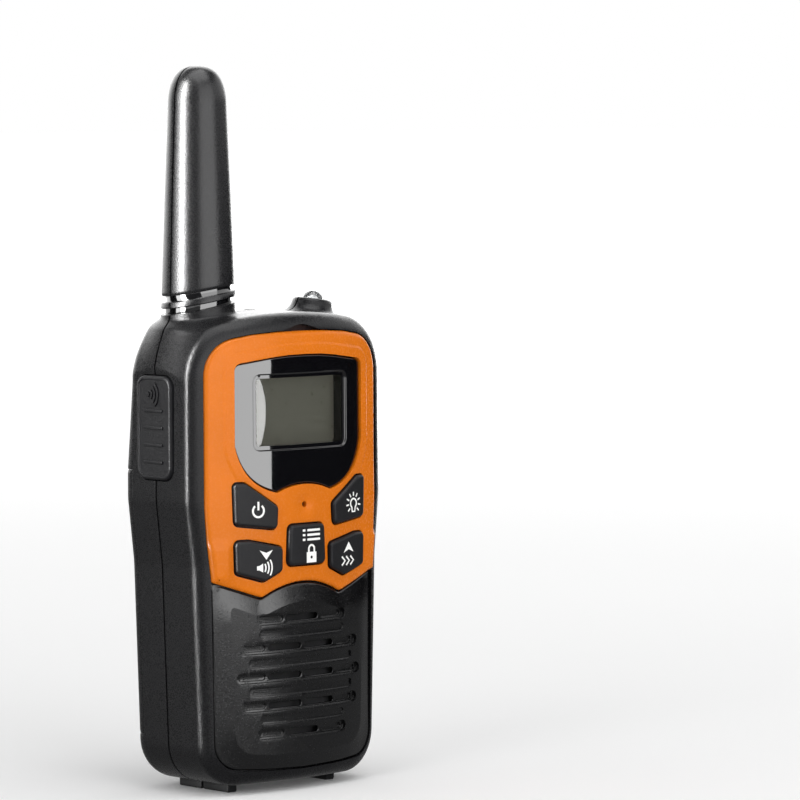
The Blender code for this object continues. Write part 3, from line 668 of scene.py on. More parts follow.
def finish_rear(rear):
    """Opening for the battery cover, the tray for the cells and the wells of the screws."""
    cut(rear, layer(COVER_Y - 0.15, 50, COVER_Z[0] - 0.2, COVER_Z[1] + 0.2))
    x0, z0, x1, z1 = TRAY
    tray_wall = box_outline(x0 - TRAY_WALL, z0 - TRAY_WALL, x1 + TRAY_WALL, z1 + TRAY_WALL, 2.5, 6)
    join(rear, slab(tray_wall, PARTING_Y + SEAM + 0.05, COVER_Y - 0.8))
    cut(rear, slab(box_outline(x0, z0, x1, z1, 1.5), TRAY_FLOOR, 50))
    for x, z in SCREWS:
        cut(rear, rod((x, 27.0, z), (x, 50, z), 3.4))
    return rear


def openings(shell):
    """Holes that pass through both halves."""
    cut(shell, side_slab(inset(TALK_OUTLINE, -0.25), -40, -24))
    cut(shell, rod((2.0, 24.2, 104), (2.0, 24.2, 118), 2.9))
    return shell


def make_sleeve():
    """Two halves of the antenna with a shallow seam, grooves polished and the rest textured."""
    profile = antenna_profile()
    sleeve = turned(profile, ANTENNA, 96, "antenna_sleeve")
    sliced(sleeve, seam_planes(1, PARTING_Y, SPLIT_EDGES))

    def draw_in(points):
        pull = 0.03 * dip(np.abs(points[:, 1] - PARTING_Y))
        offset = points[:, :2] - ANTENNA
        length = np.maximum(np.hypot(*offset.T), 0.5)
        moved = points.copy()
        moved[:, :2] -= offset / length[:, None] * pull[:, None]
        moved[:, 2] -= pull * smooth_step(TIP_Z - 6, TIP_Z, points[:, 2])
        return moved

    def groove_or_rubber(centre):
        spread = hypot(centre.x / MM - ANTENNA[0], centre.y / MM - ANTENNA[1])
        return int(any(low < centre.z / MM < high for low, high in GROOVES) and spread < 8.1)

    move_verts(sleeve, draw_in)
    cut(sleeve, layer(PARTING_Y - SEAM, PARTING_Y + SEAM, 100, 175))
    core = [(max(0.02, r - 0.6), z - (0.7 if z > TIP_Z - 3 else 0)) for r, z in profile]
    join(sleeve, turned(core, ANTENNA, 96))
    paint(sleeve, (SLEEVE_RUBBER, POLISHED), groove_or_rubber)
    return move_verts(sleeve, lambda points: leaned(points, CUT_Z))


def make_cover(cover):
    """Battery cover, hollowed for the tray, with a shallow finger notch at its foot."""
    keep(cover, layer(COVER_Y, 50, *COVER_Z))
    x0, z0, x1, z1 = TRAY
    hollow = box_outline(x0 - TRAY_WALL, z0 - 2.4, x1 + TRAY_WALL, z1 + TRAY_WALL, 2.0)
    cut(cover, slab(hollow, 20, 31.0))
    cut(cover, block(-7, 7, DEPTH - 0.7, 50, 5, 16.4))
    return cover


# ------------ face pieces

# Where the bezel's narrow step round the lens begins and ends, measured out from the lens.
STEP_OUT, STEP_IN = 3.1, 2.5
BEZEL = bezel_outline()
PANEL = panel_outline()
LENS = lens_outline()


def bezel_relief(points):
    """Outer slope, raised strip round the lens, dimple at the microphone and side ears."""
    flat = points[:, [0, 2]]
    from_edge = -edge_distance(flat, BEZEL)
    from_lens = edge_distance(flat, LENS)
    face = smooth_step(1.5, 0.9, points[:, 1])
    high = smooth_step(62, 80, points[:, 2])
    slope = 0.55 * np.clip(1 - from_edge / 5.6, 0, 1) ** 1.3 * (0.55 + 0.45 * high)
    strip = np.clip((STEP_OUT - from_lens) / (STEP_OUT - STEP_IN), 0, 1)
    strip *= -0.17 * smooth_step(70, 78, points[:, 2])
    dimple = 0.45 * smooth_step(3.2, 0.6, np.hypot(points[:, 0], points[:, 2] - MIC_Z))
    ear_side = np.abs(points[:, 0])
    ear = 0.6 * smooth_step(20.4, 21.4, ear_side) * smooth_step(60.0, 58.6, points[:, 2])
    ear *= smooth_step(50.0, 51.4, points[:, 2])
    moved = points.copy()
    moved[:, 1] += face * (slope + strip + dimple - ear)
    return moved


def make_bezel():
    bezel = slab(BEZEL, 0, PLATE, front=1.0, segments=5, name="bezel_face")
    cut(bezel, slab(inset(LENS, -0.3), -3, 5))
    for outline in KEYS.values():
        cut(bezel, slab(inset(fillet(outline, 6), -0.35), -3, 5))
    cut(bezel, slab(circle(0, MIC_Z, 0.72, 24), -3, 5))
    soften(bezel, 0.22, 3)
    imprint(bezel, inset(LENS, -STEP_OUT), inset(LENS, -STEP_IN), 0.005)
    grid_slices(bezel, 0.9, 0.9)
    move_verts(bezel, bezel_relief)
    return move_verts(bezel, bow_shift)


def make_lens():
    """Black lens with a stepped recess and a deep tunnel down to the display."""
    lens = slab(LENS, 0.45, PLATE, front=0.3, segments=4, name="lens_glass")
    cut(lens, slab(box_outline(-14.4, 80.7, 14.4, 98.5, 1.8), -2, 1.0))
    soften(lens, 0.18, 3)
    grid_slices(lens, 1.0, 0)
    tunnel = slab(box_outline(-14.2, 80.9, 14.2, 98.3, 1.2), 1.1, 3.9)
    move_verts(lens, bow_shift)
    join(lens, bend(tunnel, 2))
    opening = slab(box_outline(-13.35, 81.75, 13.35, 97.55, 0.8), -2, 9)
    return cut(lens, opening)


def make_pane():
    """The window's clear pane, slightly pillowed."""
    half, low, high = 13.25, 81.85, 97.45
    pane = slab(box_outline(-half, low, half, high, 0.7), 1.05, 1.45, name="window_pane")
    grid_slices(pane, 1.0, 1.0)

    def pillow(points):
        u, v = points[:, 0] / half, (2 * points[:, 2] - low - high) / (high - low)
        moved = points.copy()
        bulge = 0.26 * (1 - u * u) * (1 - 0.55 * v * v)
        moved[:, 1] += points[:, 0] ** 2 / (2 * 120) - bulge + 0.35
        return moved

    return move_verts(pane, pillow)


def stadium(x, z, half_length, height):
    """A slot outline with round ends."""
    half = height / 2
    return box_outline(x - half_length, z - half, x + half_length, z + half, half, 12)


PLATEAU_TOP = [(0, 45.2, 0), *sharp(arc((-12.3, 41.6), (12.3, 41.6), 3.2, 20)[10:-1])]
PLATEAU_SIDE = [(12.3, 41.6, 1.5), (20.6, 44.8, 1.0), (19.4, 9.9, 5.5), (9, 9.1, 0), (0, 8.9, 0)]
PLATEAU = fillet(mirrored(PLATEAU_TOP + PLATEAU_SIDE), 8)


def panel_relief(points):
    """A sloping border round a level plateau."""
    outside = edge_distance(points[:, [0, 2]], PLATEAU)
    face = smooth_step(1.9, 1.2, points[:, 1])
    moved = points.copy()
    moved[:, 1] += face * 0.8 * np.clip(outside / 4.0, 0, 1)
    return moved


def crease(obj, outline):
    """Marks the edges that lie on this outline, so that its crease stays crisp."""
    ends = np.empty(len(obj.data.vertices) * 3)
    obj.data.vertices.foreach_get("co", ends)
    near = np.abs(edge_distance(ends.reshape(-1, 3)[:, [0, 2]] / MM, outline)) < 0.01
    flags = [bool(near[a] and near[b]) for a, b in (edge.vertices for edge in obj.data.edges)]
    attribute = obj.data.attributes.new("crease_mark", "BOOLEAN", "EDGE")
    attribute.data.foreach_set("value", flags)


def imprint(obj, outer, inner, depth):
    """Presses a hair-deep step between two outlines, so that edges run along both."""
    band = slab(outer, -2, depth)
    cut(band, slab(inner, -3, 3))
    return cut(obj, band)


def make_grille():
    """Slots whose end lengths are blind, grooves between them and a raised plateau."""
    grille = slab(PANEL, 0.5, 2.2, front=0.5, segments=4, name="grille_face")
    for z, half in SLOT_ROWS:
        cut(grille, slab(stadium(0, z, half, 2.5), -3, 1.4))
        splits = (-5.3, 5.3) if half < 14 else (-10.4, 0, 10.4)
        edges = [-half + 0.75, *splits, half - 0.75]
        for a, b in zip(edges, edges[1:]):
            blind = a == edges[0] or b == edges[-1]
            slot = box_outline(a + 0.45, z - 0.72, b - 0.45, z + 0.72, 0.68, 5)
            cut(grille, slab(slot, -3, 1.9 if blind else 5.0))
    for z, half in GROOVE_ROWS:
        cut(grille, slab(stadium(0, z, half, 1.9), -3, 0.9))
    soften(grille, 0.17, 2, clamp=False)
    imprint(grille, inset(PANEL, -2), PLATEAU, 0.505)
    grid_slices(grille, 1.3, 2.6)
    crease(grille, PLATEAU)
    move_verts(grille, panel_relief)
    return move_verts(grille, bow_shift)


def make_key(node):
    outline = fillet(KEYS[node], 8)
    name = node.replace("_button", "_key")
    return bend(slab(outline, -KEY_PROUD - 0.1, 3.6, front=0.75, segments=6, name=name), 1.0)


def icon(parts, name):
    """Thin proud shapes on a key face; each part is a closed outline."""
    pieces = (slab(points, -KEY_PROUD - 0.14, -KEY_PROUD + 0.3) for points in parts)
    return bend(gathered(pieces, name), 0.6)


def stroke(points, width):
    """The outline of a line of constant width through the points, with flat ends."""
    left, right = [], []
    count = len(points)
    for i in range(count):
        here = Vector(points[i])
        before = Vector(points[max(0, i - 1)])
        after = Vector(points[min(count - 1, i + 1)])
        along = (after - before).normalized()
        side = Vector((-along.y, along.x)) * width / 2
        left.append(tuple(here + side))
        right.append(tuple(here - side))
    return left + right[::-1]


def sweep(x, z, radius, start, end, steps=24):
    """Points on an arc, in degrees anticlockwise from +X."""
    turns = [radians(start + (end - start) * i / steps) for i in range(steps + 1)]
    return [(x + radius * cos(t), z + radius * sin(t)) for t in turns]


def ring(x, z, radius, width, start=0.0, end=360.0):
    """Ring outlines in two halves, as a closed outline can't hold a hole."""
    middle = (start + end) / 2
    halves = ((start, middle), (middle, end))
    return [stroke(sweep(x, z, radius, a, b), width) for a, b in halves]


def power_icon():
    x, z = -14.35, 66.85
    return ring(x, z, 1.45, 0.48, 128, 412) + [stroke([(x, z + 0.15), (x, z + 2.15)], 0.48)]


def lamp_icon():
    x, z = 15.5, 66.9
    parts = ring(x, z, 1.1, 0.42, -55, 235)
    foot = [(x + 0.65, z - 0.85), (x + 0.5, z - 1.95), (x - 0.5, z - 1.95), (x - 0.65, z - 0.85)]
    parts.append(stroke(foot, 0.42))
    for k in range(9):
        turn = radians(-42 + k * 33)
        ray = [(x + r * cos(turn), z + r * sin(turn)) for r in (1.75, 2.7)]
        parts.append(stroke(ray, 0.36))
    return parts


def menu_icon():
    """A three-line list above a padlock."""
    x = 0.9
    parts = []
    for z in (59.35, 60.45, 61.55):
        parts.append(box_outline(x - 1.3, z - 0.27, x + 2.7, z + 0.27, 0.12, 2))
        parts.append(box_outline(x - 2.7, z - 0.27, x - 1.9, z + 0.27, 0.12, 2))
    parts += ring(x, 57.15, 0.85, 0.48, 0, 180)
    parts += [box_outline(x + s - 0.24, 56.2, x + s + 0.24, 57.15, 0.02, 1) for s in (-0.85, 0.85)]
    keyhole = [(x, 54.75), (x - 0.34, 54.95), (x - 0.34, 55.35), (x, 55.55)]
    left = [(x - 1.5, 53.9), (x, 53.9), *keyhole, (x, 56.4), (x - 1.5, 56.4)]
    right = [(2 * x - a, b) for a, b in reversed(left)]
    return parts + [left, right]


def down_icon():
    """An arrowhead above a small loudspeaker with waves."""
    x = -12.3
    arrow = [(x, 55.35), (x + 1.75, 57.55), (x, 56.95), (x - 1.75, 57.55)]
    cone = [(x - 2.5, 52.95), (x - 1.9, 52.95), (x - 0.9, 52.4)]
    cone += [(x - 0.9, 54.5), (x - 1.9, 53.95), (x - 2.5, 53.95)]
    waves = [stroke(sweep(x - 1.9, 53.45, r, -32, 32, 12), 0.36) for r in (1.75, 2.6, 3.45)]
    return [arrow, cone] + waves


def up_icon():
    """An arrowhead above three chevrons."""
    x = 13.6
    arrow = [(x - 1.8, 55.4), (x, 56.1), (x + 1.8, 55.4), (x, 57.9)]
    chevrons = []
    for k in (-2.5, -0.95, 0.6):
        chevrons.append(stroke([(x + k, 54.5), (x + k + 1.15, 53.45), (x + k, 52.4)], 0.46))
    return [arrow] + chevrons


ICONS = dict(zip(KEYS, (power_icon, lamp_icon, menu_icon, down_icon, up_icon)))


# ------------ side, top and bottom pieces


def make_talk():
    bar = side_slab(TALK_OUTLINE, TALK_X + 0.35, -27.0, "talk_bar", rim=0.7)
    cut(bar, side_slab(inset(TALK_OUTLINE, 0.95), -34, TALK_X + 0.6))
    join(bar, side_slab(inset(TALK_OUTLINE, -0.9), -27.2, -26.4))
    soften(bar, 0.15, 2)
    return bar


def make_talk_marks():
    """Four grip bars and a raised mouth-and-waves sign, in the rubber's own colour."""
    x0, x1 = TALK_X + 0.2, TALK_X + 1.0
    middle = (12.3 + 24.9) / 2
    bars = [stadium(middle, 78.2 + 4 * k, 3.4, 0.75) for k in range(4)]
    pieces = [side_slab(bar, x0, x1, rim=0.15) for bar in bars]
    signs = [stroke(sweep(middle + 1.6, 94.0, r, 128, 232, 12), 0.45) for r in (1.2, 2.3, 3.4)]
    signs.append(circle(middle + 1.9, 94.0, 0.65, 20))
    pieces += [side_slab(outline, x0 + 0.05, x1) for outline in signs]
    return gathered(pieces, "talk_marks")


def make_foot(name, side):
    """A long narrow foot in two lengths that meet under the parting line."""
    x0, x1 = sorted((side * FOOT_X[0], side * FOOT_X[1]))
    lengths = ((FOOT_Y[0], PARTING_Y - SEAM), (PARTING_Y + SEAM, FOOT_Y[1]))
    pieces = [soften(block(x0, x1, y0, y1, 0, BODY_BOTTOM + 0.3), 0.45, 4) for y0, y1 in lengths]
    return gathered(pieces, name.replace("_", "_rubber_"))


def make_lamp():
    """Clear dome with a small reflector cup below it."""
    profile = [(2.45, -1.5), (2.5, -1.4), (2.5, 1.1)]
    for t in np.linspace(0.15, pi / 2, 10):
        profile.append((2.5 * cos(t) if t < 1.5 else 0.02, 1.1 + 2.35 * sin(t)))
    dome = turned(profile, (0, 0), 48, "lamp_dome")
    cup_profile = [(1.7, -1.3), (2.0, -1.2), (2.0, 0.6), (1.7, 0.6), (0.8, -0.5), (0.02, -0.55)]
    cup = turned(cup_profile, (0, 0), 40, "lamp_cup")
    place = Matrix.Translation(lamp_point(113.5) * MM) @ Matrix.Rotation(LAMP_TILT, 4, "Y")
    for obj in (dome, cup):
        obj.data.transform(place)
    return dome, cup


def make_cell(node, upright):
    """A dry cell: film sleeve with a copper band, rolled shoulder and a steel button at one end."""
    low, high = mm_box(node)
    length = high.z - low.z
    profile = [(4.2, 0), (4.6, 0.15), (4.75, 0.55), (5.05, 0.58), (CELL_R, 0.85)]
    profile += [(CELL_R, length - CELL_BAND), (CELL_R, length - 1.4)]
    profile += [(5.1, length - 1.1), (4.9, length - 0.9), (4.5, length - 0.8)]
    profile += [(3.4, length - 0.8), (3.3, length - 1.1), (1.95, length - 1.1), (1.9, length - 0.3)]
    profile.append((1.6, length))
    cell = turned(profile, (0, 0), 56, node.replace("battery", "dry"))

    def film_steel_or_band(centre):
        z = centre.z / MM
        if z < 0.57 or (z > length - 1.2 and hypot(centre.x, centre.y) / MM < 3.35):
            return 1
        return 2 if z > length - CELL_BAND else 0

    paint(cell, (CELL_FILM, STEEL, COPPER), film_steel_or_band)
    middle = (low + high) / 2
    turn = Matrix() if upright else Matrix.Rotation(pi, 4, "X")
    centred = Matrix.Translation(Vector((0, 0, -length / 2)) * MM)
    cell.data.transform(Matrix.Translation(middle * MM) @ turn @ centred)
    return cell


# ------------ finishes


def set_inputs(node, values):
    for socket, value in values.items():
        node.inputs[socket].default_value = value
    return node


def add_node(tree, kind, **values):
    """A new node; a keyword is its socket's name with the spaces as underscores."""
    return set_inputs(tree.nodes.new(kind), {key.replace("_", " "): v for key, v in values.items()})


def link(tree, source, output, target, socket):
    tree.links.new(source.outputs[output], target.inputs[socket])


def mix_shaders(tree, source, output, first, second):
    """The first shader where the source's output is 0, the second where it is 1."""
    mixer = add_node(tree, "ShaderNodeMixShader")
    link(tree, source, output, mixer, 0)
    link(tree, first, 0, mixer, 1)
    link(tree, second, 0, mixer, 2)
    return mixer


def new_material(name):
    material = bpy.data.materials.new(name)
    material.use_nodes = True
    return material, material.node_tree


def map_range(tree, *ends):
    """Maps the span between the first two ends onto the span between the last two."""
    sockets = ("From_Min", "From_Max", "To_Min", "To_Max")
    return add_node(tree, "ShaderNodeMapRange", **dict(zip(sockets, ends)))


def window_film(name):
    """Clear pane: mostly see-through, with a mirror film that grows towards glancing angles."""
    material, tree = new_material(name)
    tree.nodes.remove(tree.nodes["Principled BSDF"])
    clear = add_node(tree, "ShaderNodeBsdfTransparent", Color=(0.86, 0.87, 0.86, 1))
    gloss = add_node(tree, "ShaderNodeBsdfGlossy", Roughness=0.03, Color=(1, 1, 1, 1))
    way_in = mix_shaders(tree, add_node(tree, "ShaderNodeFresnel", IOR=1.85), 0, clear, gloss)
    side = add_node(tree, "ShaderNodeNewGeometry")
    film = mix_shaders(tree, side, "Backfacing", way_in, clear)
    link(tree, film, 0, tree.nodes["Material Output"], "Surface")
    return material


def finish(
    name,
    colour,
    rough,
    grain,
    relief,
    metal=0.0,
    coat=0.0,
    specular=0.5,
    mottle=90.0,
    tint=0.12,
    spread=0.08,
    transmission=0.0,
):
    """A Principled finish: fine grain in the surface, drifting colour and gloss."""
    material, tree = new_material(name)
    shader = tree.nodes["Principled BSDF"]
    even = {"Metallic": metal, "Coat Weight": coat, "Coat Roughness": 0.08}
    even |= {"Specular IOR Level": specular, "Transmission Weight": transmission}
    set_inputs(shader, even)
    place = add_node(tree, "ShaderNodeTexCoord")

    fine = add_node(tree, "ShaderNodeTexNoise", Scale=grain, Detail=3.0)
    link(tree, place, "Object", fine, "Vector")
    bump = add_node(tree, "ShaderNodeBump", Strength=relief, Distance=0.0002)
    link(tree, fine, "Fac", bump, "Height")
    link(tree, bump, "Normal", shader, "Normal")

    drift = add_node(tree, "ShaderNodeTexNoise", Scale=mottle, Detail=5.0)
    link(tree, place, "Object", drift, "Vector")
    ramp = add_node(tree, "ShaderNodeValToRGB")
    for element, position, share in zip(ramp.color_ramp.elements, (0.3, 0.7), (1 - tint, 1 + tint)):
        element.position = position
        element.color = (*[min(1, c * share) for c in colour], 1)
    link(tree, drift, "Fac", ramp, "Fac")
    link(tree, ramp, "Color", shader, "Base Color")
    gloss = map_range(tree, 0.3, 0.7, max(0.02, rough - spread), rough + spread)
    link(tree, fine if grain < 4000 else drift, "Fac", gloss, "Value")
    link(tree, gloss, "Result", shader, "Roughness")
    return material


def glow(material, colour, strength):
    shader = material.node_tree.nodes["Principled BSDF"]
    return set_inputs(shader, {"Emission Color": colour, "Emission Strength": strength})


SHELL = finish("moulded_shell", (0.0085, 0.0085, 0.0095), 0.28, 3400, 0.3, specular=0.17)
SLEEVE_RUBBER = finish("sleeve_rubber", (0.0085, 0.0085, 0.0095), 0.28, 3400, 0.2, specular=0.3)
POLISHED = finish(
    "polished_black", (0.008, 0.008, 0.009), 0.07, 90, 0.003, specular=1.0, spread=0.02
)
WINDOW = window_film("window_clear")
ORANGE = finish(
    "orange_paint", (0.68, 0.165, 0.006), 0.26, 1800, 0.05, specular=0.14, tint=0.035, spread=0.05
)
PANEL_GREY = finish("panel_plastic", (0.0035, 0.0035, 0.004), 0.21, 3000, 0.12, specular=0.48)
BLACK_GLOSS = finish(
    "lens_black", (0.004, 0.004, 0.005), 0.035, 60, 0.01, specular=1.0, mottle=40, spread=0.012
)
LCD_GREY = finish("lcd_grey", (0.1, 0.096, 0.08), 0.35, 5000, 0.03, mottle=500, tint=0.02)
# Painted light: the display glows faintly, though it is no lamp, to stand in for light falling on
# it.
glow(LCD_GREY, (1, 0.95, 0.78, 1), 0.058)
KEY_RUBBER = finish("key_silicone", (0.0115, 0.0115, 0.013), 0.4, 2600, 0.2, specular=0.16)
ICON_WHITE = finish("icon_white", (0.9, 0.9, 0.88), 0.5, 3000, 0.08, tint=0.03)
TALK_RUBBER = finish("talk_rubber", (0.0105, 0.0105, 0.012), 0.42, 2400, 0.3, specular=0.1)
SOFT_RUBBER = finish("foot_rubber", (0.007, 0.007, 0.008), 0.5, 2200, 0.35, specular=0.12)
MAT_RUBBER = finish("mat_silicone", (0.03, 0.03, 0.033), 0.55, 2400, 0.2)
BOARD_GREEN = finish(
    "board_green", (0.012, 0.13, 0.03), 0.35, 1200, 0.2, coat=0.4, mottle=400, tint=0.3
)
STEEL = finish("plated_steel", (0.62, 0.63, 0.64), 0.28, 1500, 0.1, metal=1.0, tint=0.06)
COPPER = finish("copper_wire", (0.72, 0.42, 0.2), 0.3, 2000, 0.1, metal=1.0)
CONE_FILM = finish("cone_film", (0.012, 0.012, 0.013), 0.35, 1600, 0.12, coat=0.2)
CLOTH = finish("dust_cloth", (0.008, 0.008, 0.009), 0.8, 5200, 0.8)
CELL_FILM = finish("cell_film", (0.012, 0.014, 0.02), 0.25, 900, 0.02, coat=0.6, tint=0.15)
SOCKET = finish("socket_black", (0.012, 0.012, 0.012), 0.35, 2600, 0.15)
RED_WIRE = finish("red_insulation", (0.45, 0.012, 0.01), 0.35, 1200, 0.06, coat=0.3)
BLACK_WIRE = finish("black_insulation", (0.01, 0.01, 0.01), 0.35, 1200, 0.06, coat=0.3)
CLEAR = finish(
    "clear_epoxy", (0.9, 0.92, 0.93), 0.05, 300, 0.01, transmission=0.9, tint=0.02, spread=0.02
)
BASKET = finish("basket_black", (0.012, 0.012, 0.013), 0.4, 1500, 0.1, specular=0.25)
REFLECTOR = finish("lamp_reflector", (0.12, 0.12, 0.12), 0.25, 900, 0.05, metal=0.6)
# Painted shade: the tab under the rim is the bezel's orange, coloured dark brown to stand in for
# the shade and orange reflection it sits in.
TAB_PAINTED_SHADE = finish("under_rim_painted_shade", (0.014, 0.005, 0.004), 0.5, 2000, 0.2, specular=0.2)
FLOOR_WHITE = finish(
    "floor_white", (0.92, 0.92, 0.92), 0.8, 40, 0.0, specular=0.0, mottle=3, tint=0.01
)
floor_shader = glow(FLOOR_WHITE, (1, 1, 1, 1), 0)
floor_tree = FLOOR_WHITE.node_tree
floor_place = add_node(floor_tree, "ShaderNodeTexCoord")
away = add_node(floor_tree, "ShaderNodeVectorMath")
away.operation = "LENGTH"
lift = map_range(floor_tree, 0.1, 1.6, 0.05, 0.62)
link(floor_tree, floor_place, "Object", away, 0)
link(floor_tree, away, "Value", lift, "Value")
link(floor_tree, lift, "Result", floor_shader, "Emission Strength")

CONTACTS = [f"{end}_contact_{k}" for end in ("top", "bottom") for k in (1, 2)]
CAD_FINISHES = (
    (STEEL, ["rf_shield", "microphone", *CONTACTS, *[f"case_screw_{k}" for k in range(1, 5)]]),
    (SOCKET, ["lcd_frame", "headset_jack", "talk_switch"]),
    (SOFT_RUBBER, ["speaker_gasket", "mic_boot"]),
    (BOARD_GREEN, ["main_board", "led_board"]),
    (MAT_RUBBER, ["keypad_mat"]),
    (LCD_GREY, ["lcd_panel"]),
    (BASKET, ["speaker_basket"]),
    (CONE_FILM, ["speaker_cone"]),
    (CLOTH, ["dust_screen"]),
    (COPPER, ["antenna_coil"]),
    (RED_WIRE, ["speaker_lead_red"]),
    (BLACK_WIRE, ["speaker_lead_black"]),
)


def flatten(obj):
    """Lets the broad faces rule the shading, so that small bevels stay crisp beside them."""
    shading = obj.modifiers.new("broad_faces", "WEIGHTED_NORMAL")
    shading.keep_sharp = True
    return obj


def place(obj, body, slot, material, *nodes):
    """Puts a finished piece on its CAD body in place of the CAD nodes it stands for."""
    if not any(obj.data.materials):
        obj.data.materials.clear()
        obj.data.materials.append(material)
    obj.data.shade_smooth()
    obj.data.set_sharp_from_angle(angle=radians(38))
    marks = obj.data.attributes.get("crease_mark")
    if marks:
        for edge, mark in zip(obj.data.edges, [m.value for m in marks.data]):
            edge.use_edge_sharp = edge.use_edge_sharp or mark
        obj.data.attributes.remove(obj.data.attributes["crease_mark"])
    obj.location = (0, FACE_Y, 0)
    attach(obj, body)
    if nodes:
        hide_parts(*nodes)
    return obj


# ------------ assembly

front_shell, rear_shell, cover_shell = make_shells()
openings(finish_front(front_shell))
openings(finish_rear(rear_shell))
place(front_shell, "radio", "shell", SHELL, "front_case")
place(rear_shell, "radio", "shell", SHELL, "rear_case")
place(make_sleeve(), "radio", "shell", SLEEVE_RUBBER)
place(make_cover(cover_shell), "battery_cover", "shell", SHELL, "battery_cover")
place(make_bezel(), "radio", "orange", ORANGE, "front_bezel")
place(flatten(make_lens()), "radio", "lens", BLACK_GLOSS, "screen_lens")
place(make_pane(), "radio", "lens", WINDOW)
place(flatten(make_grille()), "radio", "panel", PANEL_GREY, "speaker_grille")
for node in KEYS:
    place(flatten(make_key(node)), node, "key", KEY_RUBBER, node)
    place(icon(ICONS[node](), node.replace("_button", "_sign")), node, "white", ICON_WHITE)
place(flatten(make_talk()), "talk_button", "talk_rubber", TALK_RUBBER, "talk_button")
place(make_talk_marks(), "talk_button", "talk_rubber", TALK_RUBBER)
lamp_dome, lamp_cup = make_lamp()
place(lamp_dome, "radio", "clear", CLEAR, "flashlight_led")
place(lamp_cup, "radio", "steel", REFLECTOR)
# Orange tab in the notch above the bezel; its dark brown colour is painted shade, not its own
# colour.
tab = bend(slab(box_outline(-7.4, 106.5, 7.4, 110.2, 1.2), 2.8, 3.7, name="rim_tab"), 1.5)
place(tab, "radio", "orange", TAB_PAINTED_SHADE)

for name, side in (("left_foot", -1), ("right_foot", 1)):
    place(make_foot(name, side), "radio", "rubber", SOFT_RUBBER, name)

for k in range(1, 5):
    node = f"battery_cell_{k}"
    place(make_cell(node, k % 2 == 1), "radio", "cell", CELL_FILM, node)

for material, nodes in CAD_FINISHES:
    for node in nodes:
        slots = frame["nodes"][node].material_slots
        if not slots:
            frame["nodes"][node].data.materials.append(material)
        for entry in slots:
            entry.material = material

# ------------ studio


def direction(azimuth, elevation=0.0):
    """Azimuth 0 is in front of the object and grows to its right."""
    a, e = radians(azimuth), radians(elevation)
    return Vector((sin(a) * cos(e), -cos(a) * cos(e), sin(e)))


def area_light(name, azimuth, elevation, distance, width, height, power):
    """A soft box that lights matt surfaces; the cards below stand in for it in mirrors."""
    data = bpy.data.lights.new(name, "AREA")
    data.shape = "RECTANGLE"
    data.size = width
    data.size_y = height
    data.energy = power
    light = add_object(name, data)
    out = direction(azimuth, elevation)
    light.location = Vector((0, 0, 0.075)) + out * distance
    light.rotation_euler = out.to_track_quat("Z", "Y").to_euler()
    light.visible_camera = False
    light.visible_glossy = False
    return light


def mirror_only(sheet, strength):
    """Makes a sheet that glows evenly and is seen by mirrors alone."""
    material, _ = new_material(sheet.name)
    shader = glow(material, (1, 1, 1, 1), strength)
    set_inputs(shader, {"Base Color": (0, 0, 0, 1), "Roughness": 1.0, "Specular IOR Level": 0.0})
    sheet.data.materials.append(material)
    sheet.visible_camera = False
    sheet.visible_diffuse = False
    sheet.visible_shadow = False
    sheet.visible_transmission = False


def card(name, start, end, low, high, distance, strength):
    """A curved card between two azimuths and two heights, in metres, that only mirrors see."""
    bm = bmesh.new()
    steps = max(2, int(abs(end - start) / 6))
    rows = []
    for k in range(steps + 1):
        foot = direction(start + (end - start) * k / steps) * distance
        rows.append([bm.verts.new((foot.x, foot.y, z)) for z in (low, high)])
    for a, b in zip(rows, rows[1:]):
        bm.faces.new((a[0], b[0], b[1], a[1]))
    mirror_only(new_object(name, bm), strength)


def level_sheet(name, half, centre=(0, 0, 0)):
    bm = bmesh.new()
    bmesh.ops.create_grid(bm, x_segments=1, y_segments=1, size=half)
    bmesh.ops.translate(bm, verts=bm.verts, vec=centre)
    return new_object(name, bm)


floor = level_sheet("floor", 30.0)
floor.data.materials.append(FLOOR_WHITE)

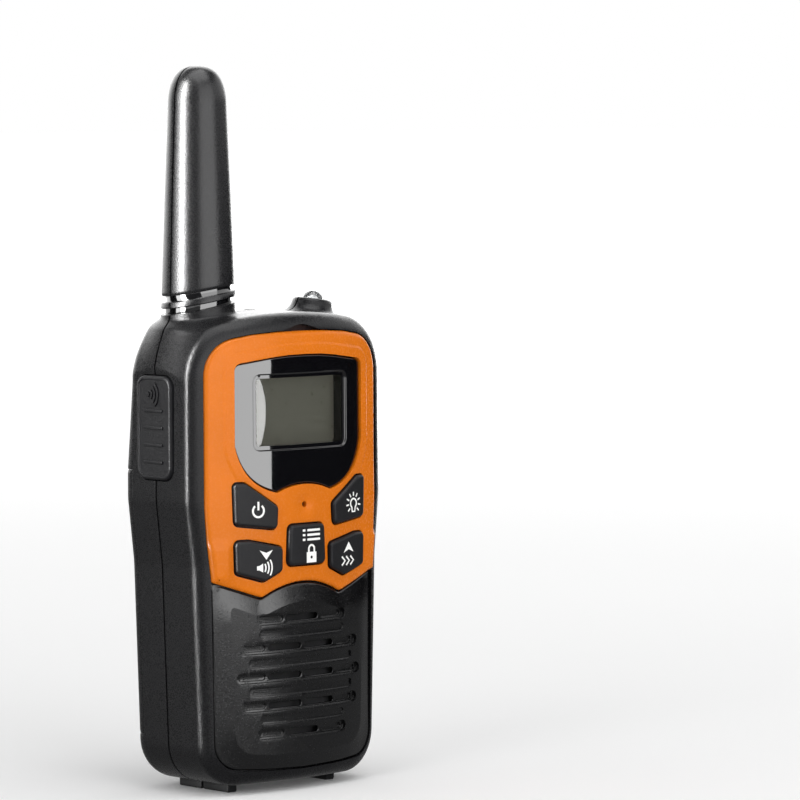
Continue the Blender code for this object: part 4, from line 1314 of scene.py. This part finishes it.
world = bpy.data.worlds.new("studio")
world.use_nodes = True
tree = world.node_tree
path = add_node(tree, "ShaderNodeLightPath")
shade = set_inputs(tree.nodes["Background"], {"Color": (1, 1, 1, 1), "Strength": 0.54})
for ray, level in (("Is Camera Ray", 1.0), ("Is Glossy Ray", 0.06)):
    other = add_node(tree, "ShaderNodeBackground", Color=(1, 1, 1, 1), Strength=level)
    shade = mix_shaders(tree, path, ray, shade, other)
link(tree, shade, 0, tree.nodes["World Output"], "Surface")
bpy.context.scene.world = world
bpy.context.scene.view_settings.view_transform = "Standard"

area_light("front_box", -12, 18, 1.5, 0.9, 1.0, 6)
area_light("key_box", -72, 25, 1.4, 0.5, 1.0, 3.5)
area_light("top_box", 20, 75, 1.5, 1.1, 1.1, 7.0)
card("front_card", -34, 25.5, -0.1, 0.22, 0.62, 5.0)
card("front_upper", -34, 25.5, 0.22, 0.6, 0.62, 3.6)
card("left_card", -104, -88, -0.1, 0.8, 0.8, 100.0)
card("left_soft", -124, -104, -0.1, 0.8, 0.8, 9.0)
card("back_card", 110, 202, 0.1, 1.6, 1.2, 3.2)
card("edge_card", 110, 140, -0.1, 0.12, 0.9, 9.0)
card("dark_right", 25.5, 110, -0.2, 0.2, 0.62, 0.0)
card("right_upper", 25.5, 110, 0.2, 0.6, 0.62, 1.5)
card("dark_left", -158, -124, -0.2, 0.5, 0.8, 0.02)
mirror_only(level_sheet("floor_card", 1.2, (0, 0, 0.0001)), 0.26)
mirror_only(level_sheet("top_card", 0.45, (-0.1, -0.25, 0.9)), 5.0)

# ------------ camera

AZIMUTH, ELEVATION, ROLL = -42.27, 3.5, radians(-0.26)
out = direction(AZIMUTH, ELEVATION)
across = Vector((cos(radians(AZIMUTH)), sin(radians(AZIMUTH)), 0))
upward = out.cross(across)
right_axis = across * cos(ROLL) + upward * sin(ROLL)
up_axis = upward * cos(ROLL) - across * sin(ROLL)
camera_data = bpy.data.cameras.new("camera")
camera_data.lens = 211.5
camera_data.sensor_width = 36.0
camera_data.clip_start = 0.05
camera = add_object("camera", camera_data)
spot = Vector((0, FACE_Y, 0.0727)) + (right_axis * 22.2 + up_axis * 19.4 + out * 1104.1) * MM
axes = Matrix((right_axis, up_axis, out)).transposed().to_4x4()
camera.matrix_world = Matrix.Translation(spot) @ axes
bpy.context.scene.camera = camera
